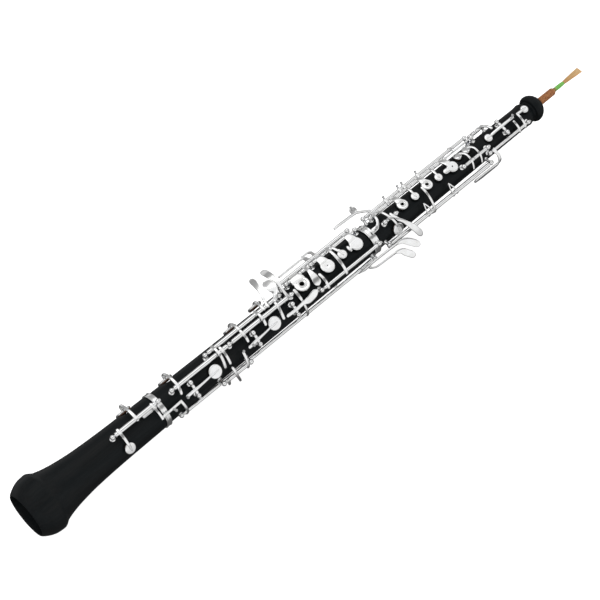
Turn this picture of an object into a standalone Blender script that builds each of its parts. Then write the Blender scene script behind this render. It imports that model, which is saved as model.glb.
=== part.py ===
"""An oboe with its reed: body joints, hinge rods on posts, keys and reed.

Lengths are in millimetres until a mesh is made.  The bore runs along +X from the bell's mouth
at the origin to the reed, and +Z points out of the front, where the finger holes are.
Places round the body are given as (x, turn, r): the distance from the bell's mouth, the angle
about the bore from the front (+Z) towards the player's right hand (+Y), and the radius.
"""
import bpy
import bmesh
import math
from mathutils import Matrix, Vector

MM = 0.001
GAP = 0.35              # space left between pieces that touch
ROD_RADIUS = 0.8        # steel hinge rods
BORE_CLEARANCE = 1.22   # hollow of a key's tube, round its rod
LOWER_TUBE = 1.9        # outer radius of key tubes on the lower joint and bell
UPPER_TUBE = 1.5        # the same on the slimmer upper joint
ARM_THICKNESS = 1.5
CUP_THICKNESS = 2.0
CUP_ROUNDING = 0.5
RECESS_DEPTH = 1.9      # below a sunken cup, so that it can go down on its seat
RECESS_MARGIN = 1.1     # round it
RECESS_HEIGHT = 6.0     # how far up the recess's cutter reaches
RECESS_SIDES = 16
BODY_SIDES = 20
CUP_SIDES = 12
ROUND_SIDES = 8
POST_SIDES = 6
TURN_STEP = 24          # an arm that wraps round the body bends at least this often, degrees

SILVER = ((0.86, 0.86, 0.85), 0.18, 1.0)
STEEL = ((0.55, 0.56, 0.58), 0.25, 1.0)
BLACKWOOD = ((0.012, 0.013, 0.014), 0.38, 0.0)
CORK = ((0.36, 0.17, 0.08), 0.8, 0.0)
THREAD = ((0.20, 0.62, 0.10), 0.7, 0.0)
CANE = ((0.66, 0.42, 0.20), 0.6, 0.0)
BRASS = ((0.55, 0.45, 0.22), 0.3, 1.0)

# Body lengths and the outline of its outside: (x, radius).
BELL_END = 131.4
RING_END = 137.0
JOINT_START = 137.4
MIDDLE_RING_START = 370.0
MIDDLE_RING_END = 377.0
UPPER_START = 377.4
CROWN_TOP = 592.6
BELL_OUTSIDE = [
    (0, 19.4), (0.9, 20.4), (3.8, 22.5), (7.7, 24.5), (12, 25.7), (17.2, 26.2), (20.5, 25.3), (24, 23.0),
    (31, 21.0), (42, 19.0), (60, 17.1), (88, 15.9), (BELL_END, 15.0),
]
BELL_INSIDE = [
    (BELL_END, 10.6), (114, 10.6), (113.9, 8.6), (70, 10.4), (30, 15.2), (8, 18.3), (0, 18.3),
]
BELL_RING_RADIUS = 16.2
MIDDLE_RING_RADIUS = 14.2
LOWER_OUTSIDE = [(JOINT_START, 14.5), (160, 14.2), (240, 13.5), (MIDDLE_RING_START - GAP, 12.4)]
UPPER_OUTSIDE = [(UPPER_START, 12.1), (430, 11.4), (500, 10.8), (566, 10.35), (572.6, 10.9), (576.6, 9.0)]


def body_radius(x):
    """Outer radius of the body at a place along the bore."""
    bell_ring = [(BELL_END + 0.1, BELL_RING_RADIUS), (RING_END, BELL_RING_RADIUS)]
    middle_ring = [(MIDDLE_RING_START + 2, MIDDLE_RING_RADIUS), (MIDDLE_RING_END - 1, MIDDLE_RING_RADIUS)]
    outline = BELL_OUTSIDE + bell_ring + LOWER_OUTSIDE + middle_ring + UPPER_OUTSIDE
    for (x0, r0), (x1, r1) in zip(outline, outline[1:]):
        if x0 <= x <= x1:
            return r0 + (r1 - r0) * (x - x0) / (x1 - x0)
    return outline[-1][1]


def outward(turn):
    """Unit vector out of the body at an angle round the bore."""
    return Vector((0, math.sin(math.radians(turn)), math.cos(math.radians(turn))))


def place(x, turn, r):
    return Vector((x, 0, 0)) + outward(turn) * r


# ---------------------------------------------------------------- meshes
def solid(name, verts, faces):
    """A new closed mesh object with its faces pointing out."""
    mesh = bpy.data.meshes.new(name)
    mesh.from_pydata([tuple(Vector(v) * MM) for v in verts], [], faces)
    bm = bmesh.new()
    bm.from_mesh(mesh)
    bmesh.ops.recalc_face_normals(bm, faces=bm.faces)
    bm.to_mesh(mesh)
    bm.free()
    obj = bpy.data.objects.new(name, mesh)
    bpy.context.collection.objects.link(obj)
    return obj


def rings_to_faces(count, sides, closed_loop=False):
    """Quads between successive rings of vertices, with end caps unless the rings close up."""
    faces = []
    last = count if closed_loop else count - 1
    for ring in range(last):
        after = (ring + 1) % count
        for i in range(sides):
            j = (i + 1) % sides
            faces.append((ring * sides + i, ring * sides + j, after * sides + j, after * sides + i))
    if not closed_loop:
        faces.append(tuple(range(sides))[::-1])
        faces.append(tuple((count - 1) * sides + i for i in range(sides)))
    return faces


def side_vectors(axis):
    """Two unit vectors square to an axis."""
    helper = Vector((1, 0, 0)) if abs(axis.x) < 0.9 else Vector((0, 0, 1))
    first = axis.cross(helper).normalized()
    return first, axis.cross(first).normalized()


def turned(name, start, axis, outline, sides):
    """A solid of revolution: outline is (distance along the axis, radius)."""
    u, v = side_vectors(axis)
    verts = []
    for along, radius in outline:
        for i in range(sides):
            angle = 2 * math.pi * (i + 0.5) / sides
            verts.append(start + axis * along + (u * math.cos(angle) + v * math.sin(angle)) * radius)
    return solid(name, verts, rings_to_faces(len(outline), sides))


def turned_ring(name, outline, sides=BODY_SIDES):
    """A hollow body of revolution about the bore: outline is a closed loop of (x, radius)."""
    verts = []
    for x, radius in outline:
        for i in range(sides):
            angle = 2 * math.pi * (i + 0.5) / sides
            verts.append((x, radius * math.sin(angle), radius * math.cos(angle)))
    return solid(name, verts, rings_to_faces(len(outline), sides, closed_loop=True))


def cylinder(name, start, end, radius, sides=ROUND_SIDES):
    axis = (end - start).normalized()
    return turned(name, start, axis, [(0, radius), ((end - start).length, radius)], sides)


def make_cup(x, turn, bottom, radius, hole):
    """A flat round key cup facing out of the body, with a finger hole where hole isn't 0."""
    out = outward(turn)
    centre = place(x, turn, bottom)
    if not hole:
        edge = radius - CUP_ROUNDING
        outline = [(0, edge), (CUP_ROUNDING, radius)]
        outline += [(CUP_THICKNESS - CUP_ROUNDING, radius), (CUP_THICKNESS, edge)]
        return turned("cup", centre, out, outline, CUP_SIDES)
    u, v = side_vectors(out)
    verts = []
    for height, r in ((0, radius), (CUP_THICKNESS, radius), (CUP_THICKNESS, hole), (0, hole)):
        for i in range(CUP_SIDES):
            angle = 2 * math.pi * (i + 0.5) / CUP_SIDES
            verts.append(centre + out * height + (u * math.cos(angle) + v * math.sin(angle)) * r)
    return solid("cup", verts, rings_to_faces(4, CUP_SIDES, closed_loop=True))


def strip(points, thickness=ARM_THICKNESS, facing=None):
    """A flat arm or touch through (x, turn, r, width) points.

    It lies on a cylinder round the bore, or faces one way all along if facing gives the angle.
    """
    fine = [points[0]]
    for a, b in zip(points, points[1:]):
        steps = max(1, math.ceil(abs(b[1] - a[1]) / TURN_STEP))
        for step in range(1, steps + 1):
            fine.append([p + (q - p) * step / steps for p, q in zip(a, b)])
    centres = [place(*p[:3]) for p in fine]
    verts = []
    for i, point in enumerate(fine):
        along = (centres[min(i + 1, len(fine) - 1)] - centres[max(i - 1, 0)]).normalized()
        side = along.cross(outward(point[1] if facing is None else facing)).normalized()
        up = side.cross(along).normalized()
        half = side * point[3] / 2
        rise = up * thickness / 2
        verts += [centres[i] - half - rise, centres[i] + half - rise]
        verts += [centres[i] + half + rise, centres[i] - half + rise]
    return solid("strip", verts, rings_to_faces(len(fine), 4))


def combine(name, first, others, operation="UNION"):
    """Boolean the other solids into or out of the first, which becomes one plain mesh."""
    for other in others:
        step = first.modifiers.new("step", "BOOLEAN")
        step.operation = operation
        step.object = other
        step.solver = "EXACT"
        bpy.context.view_layer.update()
        depsgraph = bpy.context.evaluated_depsgraph_get()
        mesh = bpy.data.meshes.new_from_object(first.evaluated_get(depsgraph))
        first.modifiers.clear()
        first.data = mesh
    for other in others:
        bpy.data.objects.remove(other)
    first.name = name
    first.data.name = name
    return first


def tidy_mesh(obj):
    """Merge the vertices that a boolean leaves on top of each other, and drop flat slivers."""
    bm = bmesh.new()
    bm.from_mesh(obj.data)
    bmesh.ops.remove_doubles(bm, verts=bm.verts, dist=0.00002)
    bmesh.ops.dissolve_degenerate(bm, edges=bm.edges, dist=0.00001)
    bmesh.ops.dissolve_limit(bm, angle_limit=math.radians(0.5), verts=bm.verts, edges=bm.edges)
    bmesh.ops.triangulate(bm, faces=bm.faces)
    bm.to_mesh(obj.data)
    bm.free()


def finish(obj, name, look, smooth_angle=35):
    """Name a solid and give it its own material and shading."""
    colour, roughness, metallic = look
    obj.name = name
    obj.data.name = name
    material = bpy.data.materials.new(name)
    material.use_nodes = True
    shader = material.node_tree.nodes["Principled BSDF"]
    shader.inputs["Base Color"].default_value = (*colour, 1)
    shader.inputs["Roughness"].default_value = roughness
    shader.inputs["Metallic"].default_value = metallic
    obj.data.materials.clear()
    obj.data.materials.append(material)
    obj.data.shade_smooth()
    obj.data.set_sharp_from_angle(angle=math.radians(smooth_angle))
    return obj


# ---------------------------------------------------------------- hinge lines
def long_line(turn, r, x0, x1):
    """A hinge line parallel to the bore."""
    return place(x0, turn, r), place(x1, turn, r)


def cross_line(x, turn_a, turn_b, r):
    """A short hinge line square to the bore, between two posts."""
    return place(x, turn_a, r), place(x, turn_b, r)


# name: (line, tube radius, distances of extra posts from the line's start)
LINES = {
    "bell_rod": (long_line(-6, 19.3, 87.2, 134.2), LOWER_TUBE, []),
    "low_key_rod": (long_line(-6, 18.0, 148.9, 280.5), LOWER_TUBE, [62.4]),
    "little_finger_rod": (long_line(12.7, 18.24, 189.9, 272.0), LOWER_TUBE, []),
    "left_low_rod": (long_line(-97, 16.0, 146.5, 366.5), UPPER_TUBE, []),
    "side_link_rod": (long_line(-82, 20.0, 189.3, 218.8), UPPER_TUBE, []),
    "lower_stack_rod": (long_line(34, 17.0, 285.5, 366.0), LOWER_TUBE - 0.2, [28.8]),
    "long_bar_rod": (long_line(46, 19.0, 280.0, 361.0), LOWER_TUBE - 0.2, []),
    "front_link_rod": (long_line(-50, 17.5, 305.4, 373.6), UPPER_TUBE, []),
    "upper_stack_rod": (long_line(40, 15.3, 385.5, 512.0), UPPER_TUBE, [92.0]),
    "trill_lever_rod": (long_line(50, 17.8, 380.6, 507.0), UPPER_TUBE, []),
    "left_link_rod": (long_line(-82, 17.3, 383.0, 511.0), UPPER_TUBE + 0.4, []),
    "g_sharp_rod": (long_line(-12, 16.5, 389.9, 402.9), UPPER_TUBE, []),
    "trill_rod": (long_line(-32, 15.0, 484.0, 514.8), UPPER_TUBE, []),
    "octave_rod": (long_line(-56, 14.0, 514.6, 565.0), UPPER_TUBE, []),
    "thumb_octave_rod": (long_line(62, 15.0, 514.6, 530.2), UPPER_TUBE, []),
    "c_sharp_pivot": (cross_line(165.0, -20.7, -61.4, 18.5), UPPER_TUBE + 0.1, []),
    "e_flat_pivot": (cross_line(233.3, -22.0, -58.6, 18.0), UPPER_TUBE + 0.1, []),
    "banana_pivot": (cross_line(276.0, -27.5, -62.5, 18.0), UPPER_TUBE + 0.1, []),
    "first_octave_pivot": (cross_line(540.0, 20.0, -32.7, 15.2), UPPER_TUBE, []),
}
POST_HEAD = 2.0         # radius of a post's round head


def post(top):
    """A turned post from the body's surface up through the hinge line's end."""
    turn = math.degrees(math.atan2(top.y, top.z))
    r = math.hypot(top.y, top.z)
    foot = body_radius(top.x) + GAP
    height = r - foot
    neck = max(height - 1.8, 0.2)
    outline = [
        (0, 1.6), (neck, 1.25), (neck + 1, POST_HEAD), (height + 0.8, POST_HEAD), (height + 1.7, 1.1),
    ]
    return turned("post", place(top.x, turn, foot), outward(turn), outline, POST_SIDES)


def make_rod(name):
    """A hinge rod as one solid with the posts that carry it."""
    (start, end), _, extra = LINES[name]
    axis = (end - start).normalized()
    posts = [post(start), post(end)] + [post(start + axis * distance) for distance in extra]
    rod = cylinder(name, start, end, ROD_RADIUS)
    obj = combine(name, rod, posts)
    tidy_mesh(obj)
    return finish(obj, name, STEEL)


# ---------------------------------------------------------------- keys
def arm(*points, facing=None):
    """A flat arm, or the part a finger presses, through (x, turn, r, width) points."""
    return strip, (points, ARM_THICKNESS, facing)


def cup(x, turn, bottom, radius, hole=0.0):
    return make_cup, (x, turn, bottom, radius, hole)


def make_key(name, line_name, tube_from, tube_to, pieces):
    """A key as one solid: a tube on its hinge line, and the arms and cups that stand on it.

    tube_from and tube_to are x for a line along the bore, and distances along a cross line.
    """
    (start, end), radius, _ = LINES[line_name]
    axis = (end - start).normalized()
    origin = start.x if abs(axis.x) > 0.9 else 0.0
    a = start + axis * (tube_from - origin)
    b = start + axis * (tube_to - origin)
    tube = cylinder(name, a, b, radius)
    obj = combine(name, tube, [make(*how) for make, how in pieces])
    past_the_end = axis * 4
    hollow = cylinder("hollow", a - past_the_end, b + past_the_end, BORE_CLEARANCE)
    obj = combine(name, obj, [hollow], "DIFFERENCE")
    tidy_mesh(obj)
    middle = (a + b) / 2
    obj.data.transform(Matrix.Translation(-middle * MM))
    obj.location = middle * MM
    return finish(obj, name, SILVER)


# name: (hinge line, tube from, tube to, what stands on the tube).
KEYS = {
    "low_b_flat_key": ("bell_rod", 89.8, 131.2, [
        arm((93.6, -4, 21.2, 2.6), (93.5, -30, 20.6, 2.4), (93.4, -46, 19.9, 2.3)),
        cup(93.8, -55, 17.2, 4.9),
        arm((111.2, -8, 21.2, 2.8), (111.3, 20, 22.0, 2.6), (111.5, 46, 22.6, 2.4), (111.7, 60, 20.8, 2.4),
            (111.8, 66, 17.6, 2.4)),
        cup(111.9, 72, 15.2, 7.2),
        arm((127.8, -6, 21.0, 2.2), (128.0, -25, 21.0, 2.0), (128.3, -46, 20.4, 2.4)),
    ]),
    "low_b_key": ("low_key_rod", 151.6, 208.6, [
        arm((155.0, -8, 19.9, 2.6), (155.2, 18, 20.8, 2.6), (155.4, 44, 21.0, 2.4), (155.4, 60, 19.2, 2.4),
            (155.4, 66, 16.6, 2.4)),
        arm((155.0, -3, 19.9, 2.6), (154.2, -16, 19.8, 2.4), (152.9, -30, 18.9, 2.4)),
        cup(155.4, 72, 14.2, 7.0),
        arm((202.7, -2, 19.8, 2.6), (202.4, -25, 19.4, 2.4), (201.8, -49, 18.4, 2.4)),
    ]),
    "e_flat_key": ("low_key_rod", 214.2, 277.8, [
        arm((225.5, -2, 19.8, 2.6), (225.3, -18, 19.6, 2.4), (224.9, -33, 18.6, 2.4)),
        arm((264.5, -2, 19.8, 2.6), (263.2, -25, 19.2, 2.4), (262.1, -46, 18.6, 2.4)),
        arm((276.4, -8, 19.6, 2.8), (276.8, 8, 21.2, 2.4), (277.8, 22, 24.0, 2.6)),
        arm((277.4, 16, 22.8, 2.4), (278.4, 30, 26.8, 3.6), (278.2, 45, 31.2, 6.4), (279.0, 58, 33.8, 6.6),
              (280.2, 68, 35.6, 4.0)),
    ]),
    "low_c_key": ("little_finger_rod", 192.6, 260.0, [
        arm((198.6, 14, 20.4, 2.6), (198.4, 2, 21.6, 2.4), (198.2, -10, 21.6, 2.4), (197.5, -28, 20.2, 2.4),
            (196.4, -49, 18.2, 2.4)),
        arm((246.6, 14, 20.4, 2.6), (246.4, 2, 21.6, 2.4), (246.2, -10, 21.6, 2.4), (245.4, -28, 19.6, 2.4)),
        arm((225.6, 10, 20.2, 2.6), (225.8, 30, 21.6, 2.4), (226.0, 50, 20.8, 2.4), (226.0, 65, 16.1, 2.4)),
        cup(226.0, 72, 13.7, 6.6),
        arm((253.6, 10, 20.2, 2.6), (254.2, 30, 21.8, 2.4), (255.2, 50, 21.8, 2.4), (255.6, 65, 18.4, 2.4)),
        cup(255.6, 72, 15.7, 6.8),
        arm((258.1, 9, 20.2, 2.4), (259.2, 20, 21.2, 2.2), (260.6, 31, 23.2, 2.2)),
        arm((259.4, 22, 21.6, 2.0), (262.0, 37, 25.6, 2.4), (264.6, 51, 30.2, 4.6), (266.2, 60, 33.4, 5.6),
              (267.2, 67.5, 36.2, 3.6)),
    ]),
    "c_sharp_touch": ("little_finger_rod", 260.4, 268.8, [
        arm((266.0, 9, 20.2, 2.6), (267.6, 11, 21.8, 2.8), (269.4, 15, 23.4, 3.0)),
        arm((268.6, 12, 22.4, 3.0), (270.6, 19, 24.6, 6.6), (271.2, 28, 26.9, 9.2), (271.0, 37, 28.6, 8.8),
              (270.6, 44, 30.0, 5.4)),
    ]),
    "c_sharp_key": ("c_sharp_pivot", 2.6, 10.3, [
        arm((154.6, -43, 18.6, 3.0), (165.0, -41, 19.4, 2.6), (174.0, -41, 18.6, 2.0), (182.0, -41, 17.0, 1.8),
            (188.0, -41, 16.4, 1.8)),
        cup(188.3, -41, 14.5, 6.1),
    ]),
    "e_flat_vent_key": ("e_flat_pivot", 2.6, 8.7, [
        arm((222.6, -47, 17.6, 3.0), (233.3, -42, 18.9, 2.6), (242.0, -41.4, 18.0, 1.9),
            (248.2, -41, 16.4, 1.8), (254.0, -41, 15.8, 1.8)),
        cup(254.5, -41, 13.9, 6.1),
    ]),
    "banana_key": ("banana_pivot", 2.6, 8.2, [
        arm((265.6, -45, 17.8, 2.8), (276.0, -45, 18.9, 3.0), (284.0, -44.5, 18.2, 3.2), (290.0, -46.5, 18.5, 6.0),
              (296.0, -43.5, 18.5, 6.6), (301.0, -38, 18.6, 4.8)),
    ]),
    "side_link_key": ("side_link_rod", 192.0, 216.1, [
        arm((201.6, -57, 18.2, 2.2), (201.8, -70, 20.2, 2.4), (202.4, -84, 21.4, 2.6), (203.6, -98, 23.0, 2.4),
            (204.3, -106, 24.2, 2.2)),
        arm((214.6, -84, 21.4, 2.6), (215.6, -64, 20.0, 2.4), (216.3, -42, 18.4, 2.6)),
        arm((193.4, -80, 21.4, 2.6), (193.4, -93, 22.0, 2.4)),
    ]),
    "low_b_flat_lever": ("left_low_rod", 149.2, 350.0, [
        arm((150.4, -99, 17.4, 2.4), (150.4, -75, 18.2, 2.4), (150.2, -58, 18.4, 2.4), (149.6, -41, 18.4, 2.4)),
        arm((150.4, -42, 18.4, 2.4), (140.0, -43.5, 18.2, 2.2), (127.6, -46, 17.8, 2.4)),
        arm((141.4, -43, 18.2, 2.0), (141.4, -52, 18.2, 2.6)),
        arm((286.0, -97, 17.4, 2.4), (286.0, -80, 16.7, 2.4), (285.8, -52, 15.7, 2.2), (285.8, -28, 15.8, 2.6),
            (286.0, 4, 16.5, 2.8)),
        arm((348.0, -99, 17.4, 2.6), (351.0, -88, 19.6, 2.4), (362.0, -80, 20.4, 2.2), (378.0, -79, 20.8, 2.2),
            (390.0, -79, 21.4, 2.6)),
        arm((388.0, -79, 21.3, 2.6), (393.0, -80, 22.0, 4.2), (398.0, -85, 25.0, 6.8), (402.5, -91, 29.0, 7.0),
              (406.2, -95.5, 32.6, 4.2), facing=-35),
    ]),
    "low_b_lever": ("left_low_rod", 350.4, 363.4, [
        arm((357.0, -95, 17.4, 2.8), (358.5, -101, 20.0, 2.6), (363.0, -97, 23.0, 2.2), (376.0, -92, 24.2, 2.2),
            (384.5, -90, 25.0, 2.4)),
        arm((383.0, -90, 24.9, 2.4), (387.6, -91, 26.4, 4.4), (391.4, -96, 29.6, 6.6), (395.2, -101, 33.0, 6.6),
              (398.8, -105, 36.0, 4.2), facing=-35),
    ]),
    "right_third_finger_key": ("lower_stack_rod", 288.2, 303.0, [
        arm((295.4, 36, 18.6, 10.5), (295.4, 24, 17.4, 12.4), (295.3, 14, 16.2, 13.4)),
        cup(295.3, 2, 14.4, 7.0, hole=2.1),
    ]),
    "f_key": ("lower_stack_rod", 303.4, 311.6, [
        arm((308.0, 36, 18.6, 3.0), (307.8, 22, 18.3, 2.8), (307.4, 8, 17.9, 4.2), (306.8, -8, 17.5, 6.2),
              (306.2, -22, 17.1, 7.2), (305.9, -34, 16.8, 5.2)),
    ]),
    "right_second_finger_key": ("lower_stack_rod", 317.0, 330.0, [
        arm((323.5, 36, 18.4, 6.4), (323.5, 22, 17.2, 7.6), (323.6, 10, 16.1, 9.2)),
        cup(323.7, -4, 14.1, 6.4, hole=0.45),
    ]),
    "right_first_finger_key": ("lower_stack_rod", 330.4, 362.0, [
        arm((356.6, 36, 18.4, 6.4), (356.6, 20, 17.0, 7.6), (356.8, 8, 15.9, 9.2)),
        cup(357.0, -5.5, 13.9, 6.2),
        arm((348.8, -6, 15.0, 3.0), (354.0, -6, 15.0, 3.0)),
        arm((349.0, 6, 15.5, 2.2), (348.7, -6, 15.7, 2.7), (349.2, -17, 15.5, 2.0)),
        arm((338.6, 34, 18.2, 2.8), (339.6, 18, 16.8, 2.6), (340.6, 6, 16.0, 2.4)),
        cup(341.0, -4, 13.7, 4.3),
    ]),
    "long_side_bar": ("long_bar_rod", 282.6, 358.2, [
        arm((320.8, 44, 20.8, 4.0), (320.8, 60, 23.0, 3.6)),
        arm((321.0, 60, 22.9, 2.0), (303.0, 61, 22.9, 2.0), (287.2, 61, 22.9, 2.0)),
        arm((328.4, 44, 20.8, 2.4), (328.8, 56, 22.8, 2.4), (326.0, 64, 24.0, 2.2), (320.6, 64, 24.0, 2.2)),
    ]),
    "front_link_key": ("front_link_rod", 308.2, 370.8, [
        arm((311.8, -52, 18.8, 2.6), (312.2, -28, 18.0, 2.4), (312.0, -7, 16.6, 2.6)),
        arm((332.8, -52, 18.8, 2.8), (333.0, -28, 18.8, 2.6), (333.3, 5, 19.6, 2.6), (333.6, 36, 20.4, 2.8)),
    ]),
    "trill_lever": ("trill_lever_rod", 383.3, 504.4, [
        arm((351.9, 49, 27.0, 1.8), (357.0, 49.3, 27.0, 3.2), (366.0, 50, 26.6, 3.6), (377.0, 51, 26.0, 3.6),
              (384.6, 49, 22.8, 2.8), (391.0, 49, 19.3, 2.6)),
        arm((377.6, 51, 26.0, 5.0), (379.0, 59, 28.4, 6.4), (380.4, 67, 30.6, 5.6)),
        arm((488.6, 52, 19.0, 2.6), (488.6, 36, 18.6, 2.4), (488.6, 26, 17.2, 2.4)),
    ]),
    "g_sharp_touch": ("g_sharp_rod", 392.2, 400.6, [
        arm((398.4, -8, 17.9, 2.6), (399.2, -20, 18.6, 2.8), (400.8, -32, 19.2, 3.0)),
        arm((399.2, -26, 18.9, 2.8), (402.4, -38, 19.7, 3.0), (405.2, -52, 20.9, 4.4), (408.6, -69, 22.9, 6.0),
              (411.4, -83, 25.4, 6.2), (413.2, -92, 27.4, 3.6), facing=-45),
    ]),
    "g_sharp_key": ("upper_stack_rod", 388.2, 405.6, [
        arm((392.8, 40, 16.8, 2.6), (393.0, 24, 18.6, 2.4), (393.5, 8, 19.7, 2.2), (394.8, -12, 20.0, 2.2),
            (396.6, -34, 18.2, 2.2), (398.0, -50, 15.3, 2.2)),
        cup(398.5, -61, 13.0, 5.3),
        arm((389.8, 38, 17.4, 2.4), (387.0, 22, 18.6, 2.4), (385.6, 8, 18.3, 2.4), (383.0, -4, 17.3, 2.6),
            (379.5, -9.5, 16.7, 4.2), (374.5, -10, 16.6, 4.6)),
    ]),
    "left_third_finger_key": ("upper_stack_rod", 406.0, 434.8, [
        arm((414.2, 42, 16.6, 4.6), (414.5, 25, 15.9, 5.6), (414.8, 13, 15.0, 7.2)),
        cup(415.0, 1.5, 12.9, 5.2, hole=1.4),
        arm((430.2, 40, 16.5, 2.6), (430.0, 22, 15.6, 2.4), (429.6, 7, 14.8, 2.2)),
        cup(429.5, -4, 12.6, 3.8),
    ]),
    "left_second_finger_key": ("upper_stack_rod", 435.2, 464.0, [
        arm((444.8, 42, 16.5, 4.6), (445.2, 25, 15.7, 5.6), (445.6, 14, 14.8, 7.2)),
        cup(445.8, 2.5, 12.6, 5.2, hole=1.4),
        arm((459.6, 40, 16.4, 2.6), (459.4, 22, 15.4, 2.4), (459.1, 8, 14.5, 2.2)),
        cup(459.0, -3, 12.3, 3.7),
    ]),
    "left_first_finger_key": ("upper_stack_rod", 464.4, 475.0, [
        arm((472.0, 42, 16.3, 4.6), (473.8, 25, 15.5, 5.6), (475.6, 11, 14.5, 7.4)),
        cup(476.2, -5, 12.2, 5.3, hole=0.6),
        arm((472.6, -5, 13.7, 5.2), (468.8, -4.5, 13.8, 4.8), (465.6, -4, 13.6, 5.0)),
    ]),
    "left_link_key": ("left_link_rod", 385.7, 508.2, [
        arm((437.8, -84, 18.9, 2.4), (437.9, -66, 17.8, 2.2), (438.4, -30, 16.2, 2.2), (438.8, 5, 15.9, 2.2)),
    ]),
    "first_trill_key": ("trill_rod", 486.7, 496.6, [
        arm((490.0, 20, 13.8, 2.4), (492.4, 6, 15.0, 2.4), (493.1, -10, 16.0, 2.4), (492.9, -30, 16.5, 2.6),
            (492.3, -46, 16.1, 2.4), (491.3, -60, 15.8, 2.4)),
        cup(488.3, 18, 11.4, 3.9),
    ]),
    "second_trill_key": ("trill_rod", 497.0, 512.1, [
        arm((500.4, 20, 13.7, 2.4), (502.6, 6, 15.0, 2.4), (503.5, -10, 16.0, 2.4), (503.4, -30, 16.5, 2.6),
            (502.9, -46, 16.1, 2.4), (501.9, -60, 15.8, 2.4)),
        cup(498.8, 18, 11.3, 3.9),
    ]),
    "second_octave_key": ("octave_rod", 517.4, 562.2, [
        arm((519.2, -54, 15.2, 3.2), (520.4, -72, 17.8, 3.2), (520.2, -88, 19.8, 3.4), (517.4, -99, 20.1, 4.3)),
        arm((519.0, -98, 20.0, 4.6), (512.0, -100, 19.9, 6.0), (500.0, -100, 19.8, 7.8), (488.4, -99, 19.5, 5.4)),
        arm((552.5, -58, 15.2, 2.4), (552.2, -36, 14.9, 2.2), (551.8, -15, 14.6, 2.2)),
        arm((559.8, -58, 15.2, 2.4), (559.8, -30, 14.8, 2.2), (559.8, -4, 14.4, 2.4)),
        arm((558.4, -5, 14.1, 2.5), (563.0, -5.2, 14.0, 2.5), (569.0, -5.4, 13.2, 2.5)),
        cup(570.2, -5, 11.2, 3.7),
    ]),
    "first_octave_key": ("first_octave_pivot", 2.5, 10.8, [
        arm((526.0, -4.4, 13.5, 2.6), (531.0, -4.4, 14.4, 2.6), (540.0, -5, 15.4, 2.8), (548.0, -5, 15.3, 2.6),
            (555.0, -4.5, 15.0, 2.6)),
        cup(523.2, -4.4, 11.1, 3.8),
    ]),
    "thumb_octave_key": ("thumb_octave_rod", 517.3, 527.6, [
        arm((525.7, 64, 16.2, 2.6), (526.8, 44, 17.0, 2.4), (529.2, 26, 17.0, 2.4), (530.4, 6, 16.6, 2.6)),
        arm((520.8, 60, 16.2, 2.8), (518.0, 90, 16.0, 2.8), (514.0, 125, 15.0, 3.0), (509.0, 160, 14.6, 6.0)),
        arm((510.0, 156, 14.6, 7.0), (503.0, 168, 14.6, 10.0), (493.0, 170, 14.6, 9.0), (489.0, 170, 14.6, 6.0)),
    ]),
}


# ---------------------------------------------------------------- body and reed
TENON_RADIUS = 9.4
CORK_INSIDE = TENON_RADIUS + GAP
CORK_OUTSIDE = 10.6 - GAP
UPPER_TENON_RADIUS = 8.0
UPPER_SOCKET_RADIUS = 9.2
TENON_LENGTH = 16.0


def mill_recesses(body, x_from, x_to):
    """Cut a flat recess under each cup that lies lower than the wood round it."""
    cutters = []
    for _, _, _, pieces in KEYS.values():
        for make, how in pieces:
            if make is not make_cup:
                continue
            x, turn, bottom, radius, _ = how
            if x_from < x < x_to and bottom < body_radius(x) + GAP:
                floor = place(x, turn, bottom - RECESS_DEPTH)
                above = place(x, turn, bottom + RECESS_HEIGHT)
                cutters.append(cylinder("recess", floor, above, radius + RECESS_MARGIN, RECESS_SIDES))
    obj = combine(body.name, body, cutters, "DIFFERENCE")
    tidy_mesh(obj)
    return obj


def make_bell():
    obj = mill_recesses(turned_ring("bell", BELL_OUTSIDE + BELL_INSIDE), 0, BELL_END)
    return finish(obj, "bell", BLACKWOOD)


def make_bell_ring():
    start = BELL_END + GAP
    end = RING_END
    outline = [
        (start, 15.2), (start + 0.8, 16.0), (end - 0.9, BELL_RING_RADIUS), (end, 15.6), (end, 10.7), (start, 10.7),
    ]
    return finish(turned_ring("bell_ring", outline), "bell_ring", SILVER)


def make_lower_joint():
    """The lower joint: a tenon in the bell, the bore, and a socket for the upper joint."""
    tenon = [(JOINT_START, TENON_RADIUS), (JOINT_START - TENON_LENGTH - 5, TENON_RADIUS)]
    inside_start = tenon[-1][0]
    socket = [(MIDDLE_RING_START - GAP, UPPER_SOCKET_RADIUS), (357.0, UPPER_SOCKET_RADIUS), (356.9, 5.0)]
    outline = tenon[::-1] + LOWER_OUTSIDE + socket + [(inside_start, 8.0)]
    obj = mill_recesses(turned_ring("lower_joint", outline), JOINT_START, MIDDLE_RING_START)
    return finish(obj, "lower_joint", BLACKWOOD)


def make_sleeve(name, start, end, inner, outer, look):
    """A plain sleeve round the bore."""
    outline = [(start, inner), (start, outer - 0.2), (start + 1, outer), (end - 1, outer), (end, outer - 0.2)]
    outline.append((end, inner))
    return finish(turned_ring(name, outline), name, look)


def make_middle_ring():
    start = MIDDLE_RING_START
    end = MIDDLE_RING_END
    outline = [
        (start, 13.2), (start + 0.9, 14.1), (end - 1, MIDDLE_RING_RADIUS), (end, 13.6), (end, 9.2), (start, 9.2),
    ]
    return finish(turned_ring("middle_ring", outline), "middle_ring", SILVER)


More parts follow.
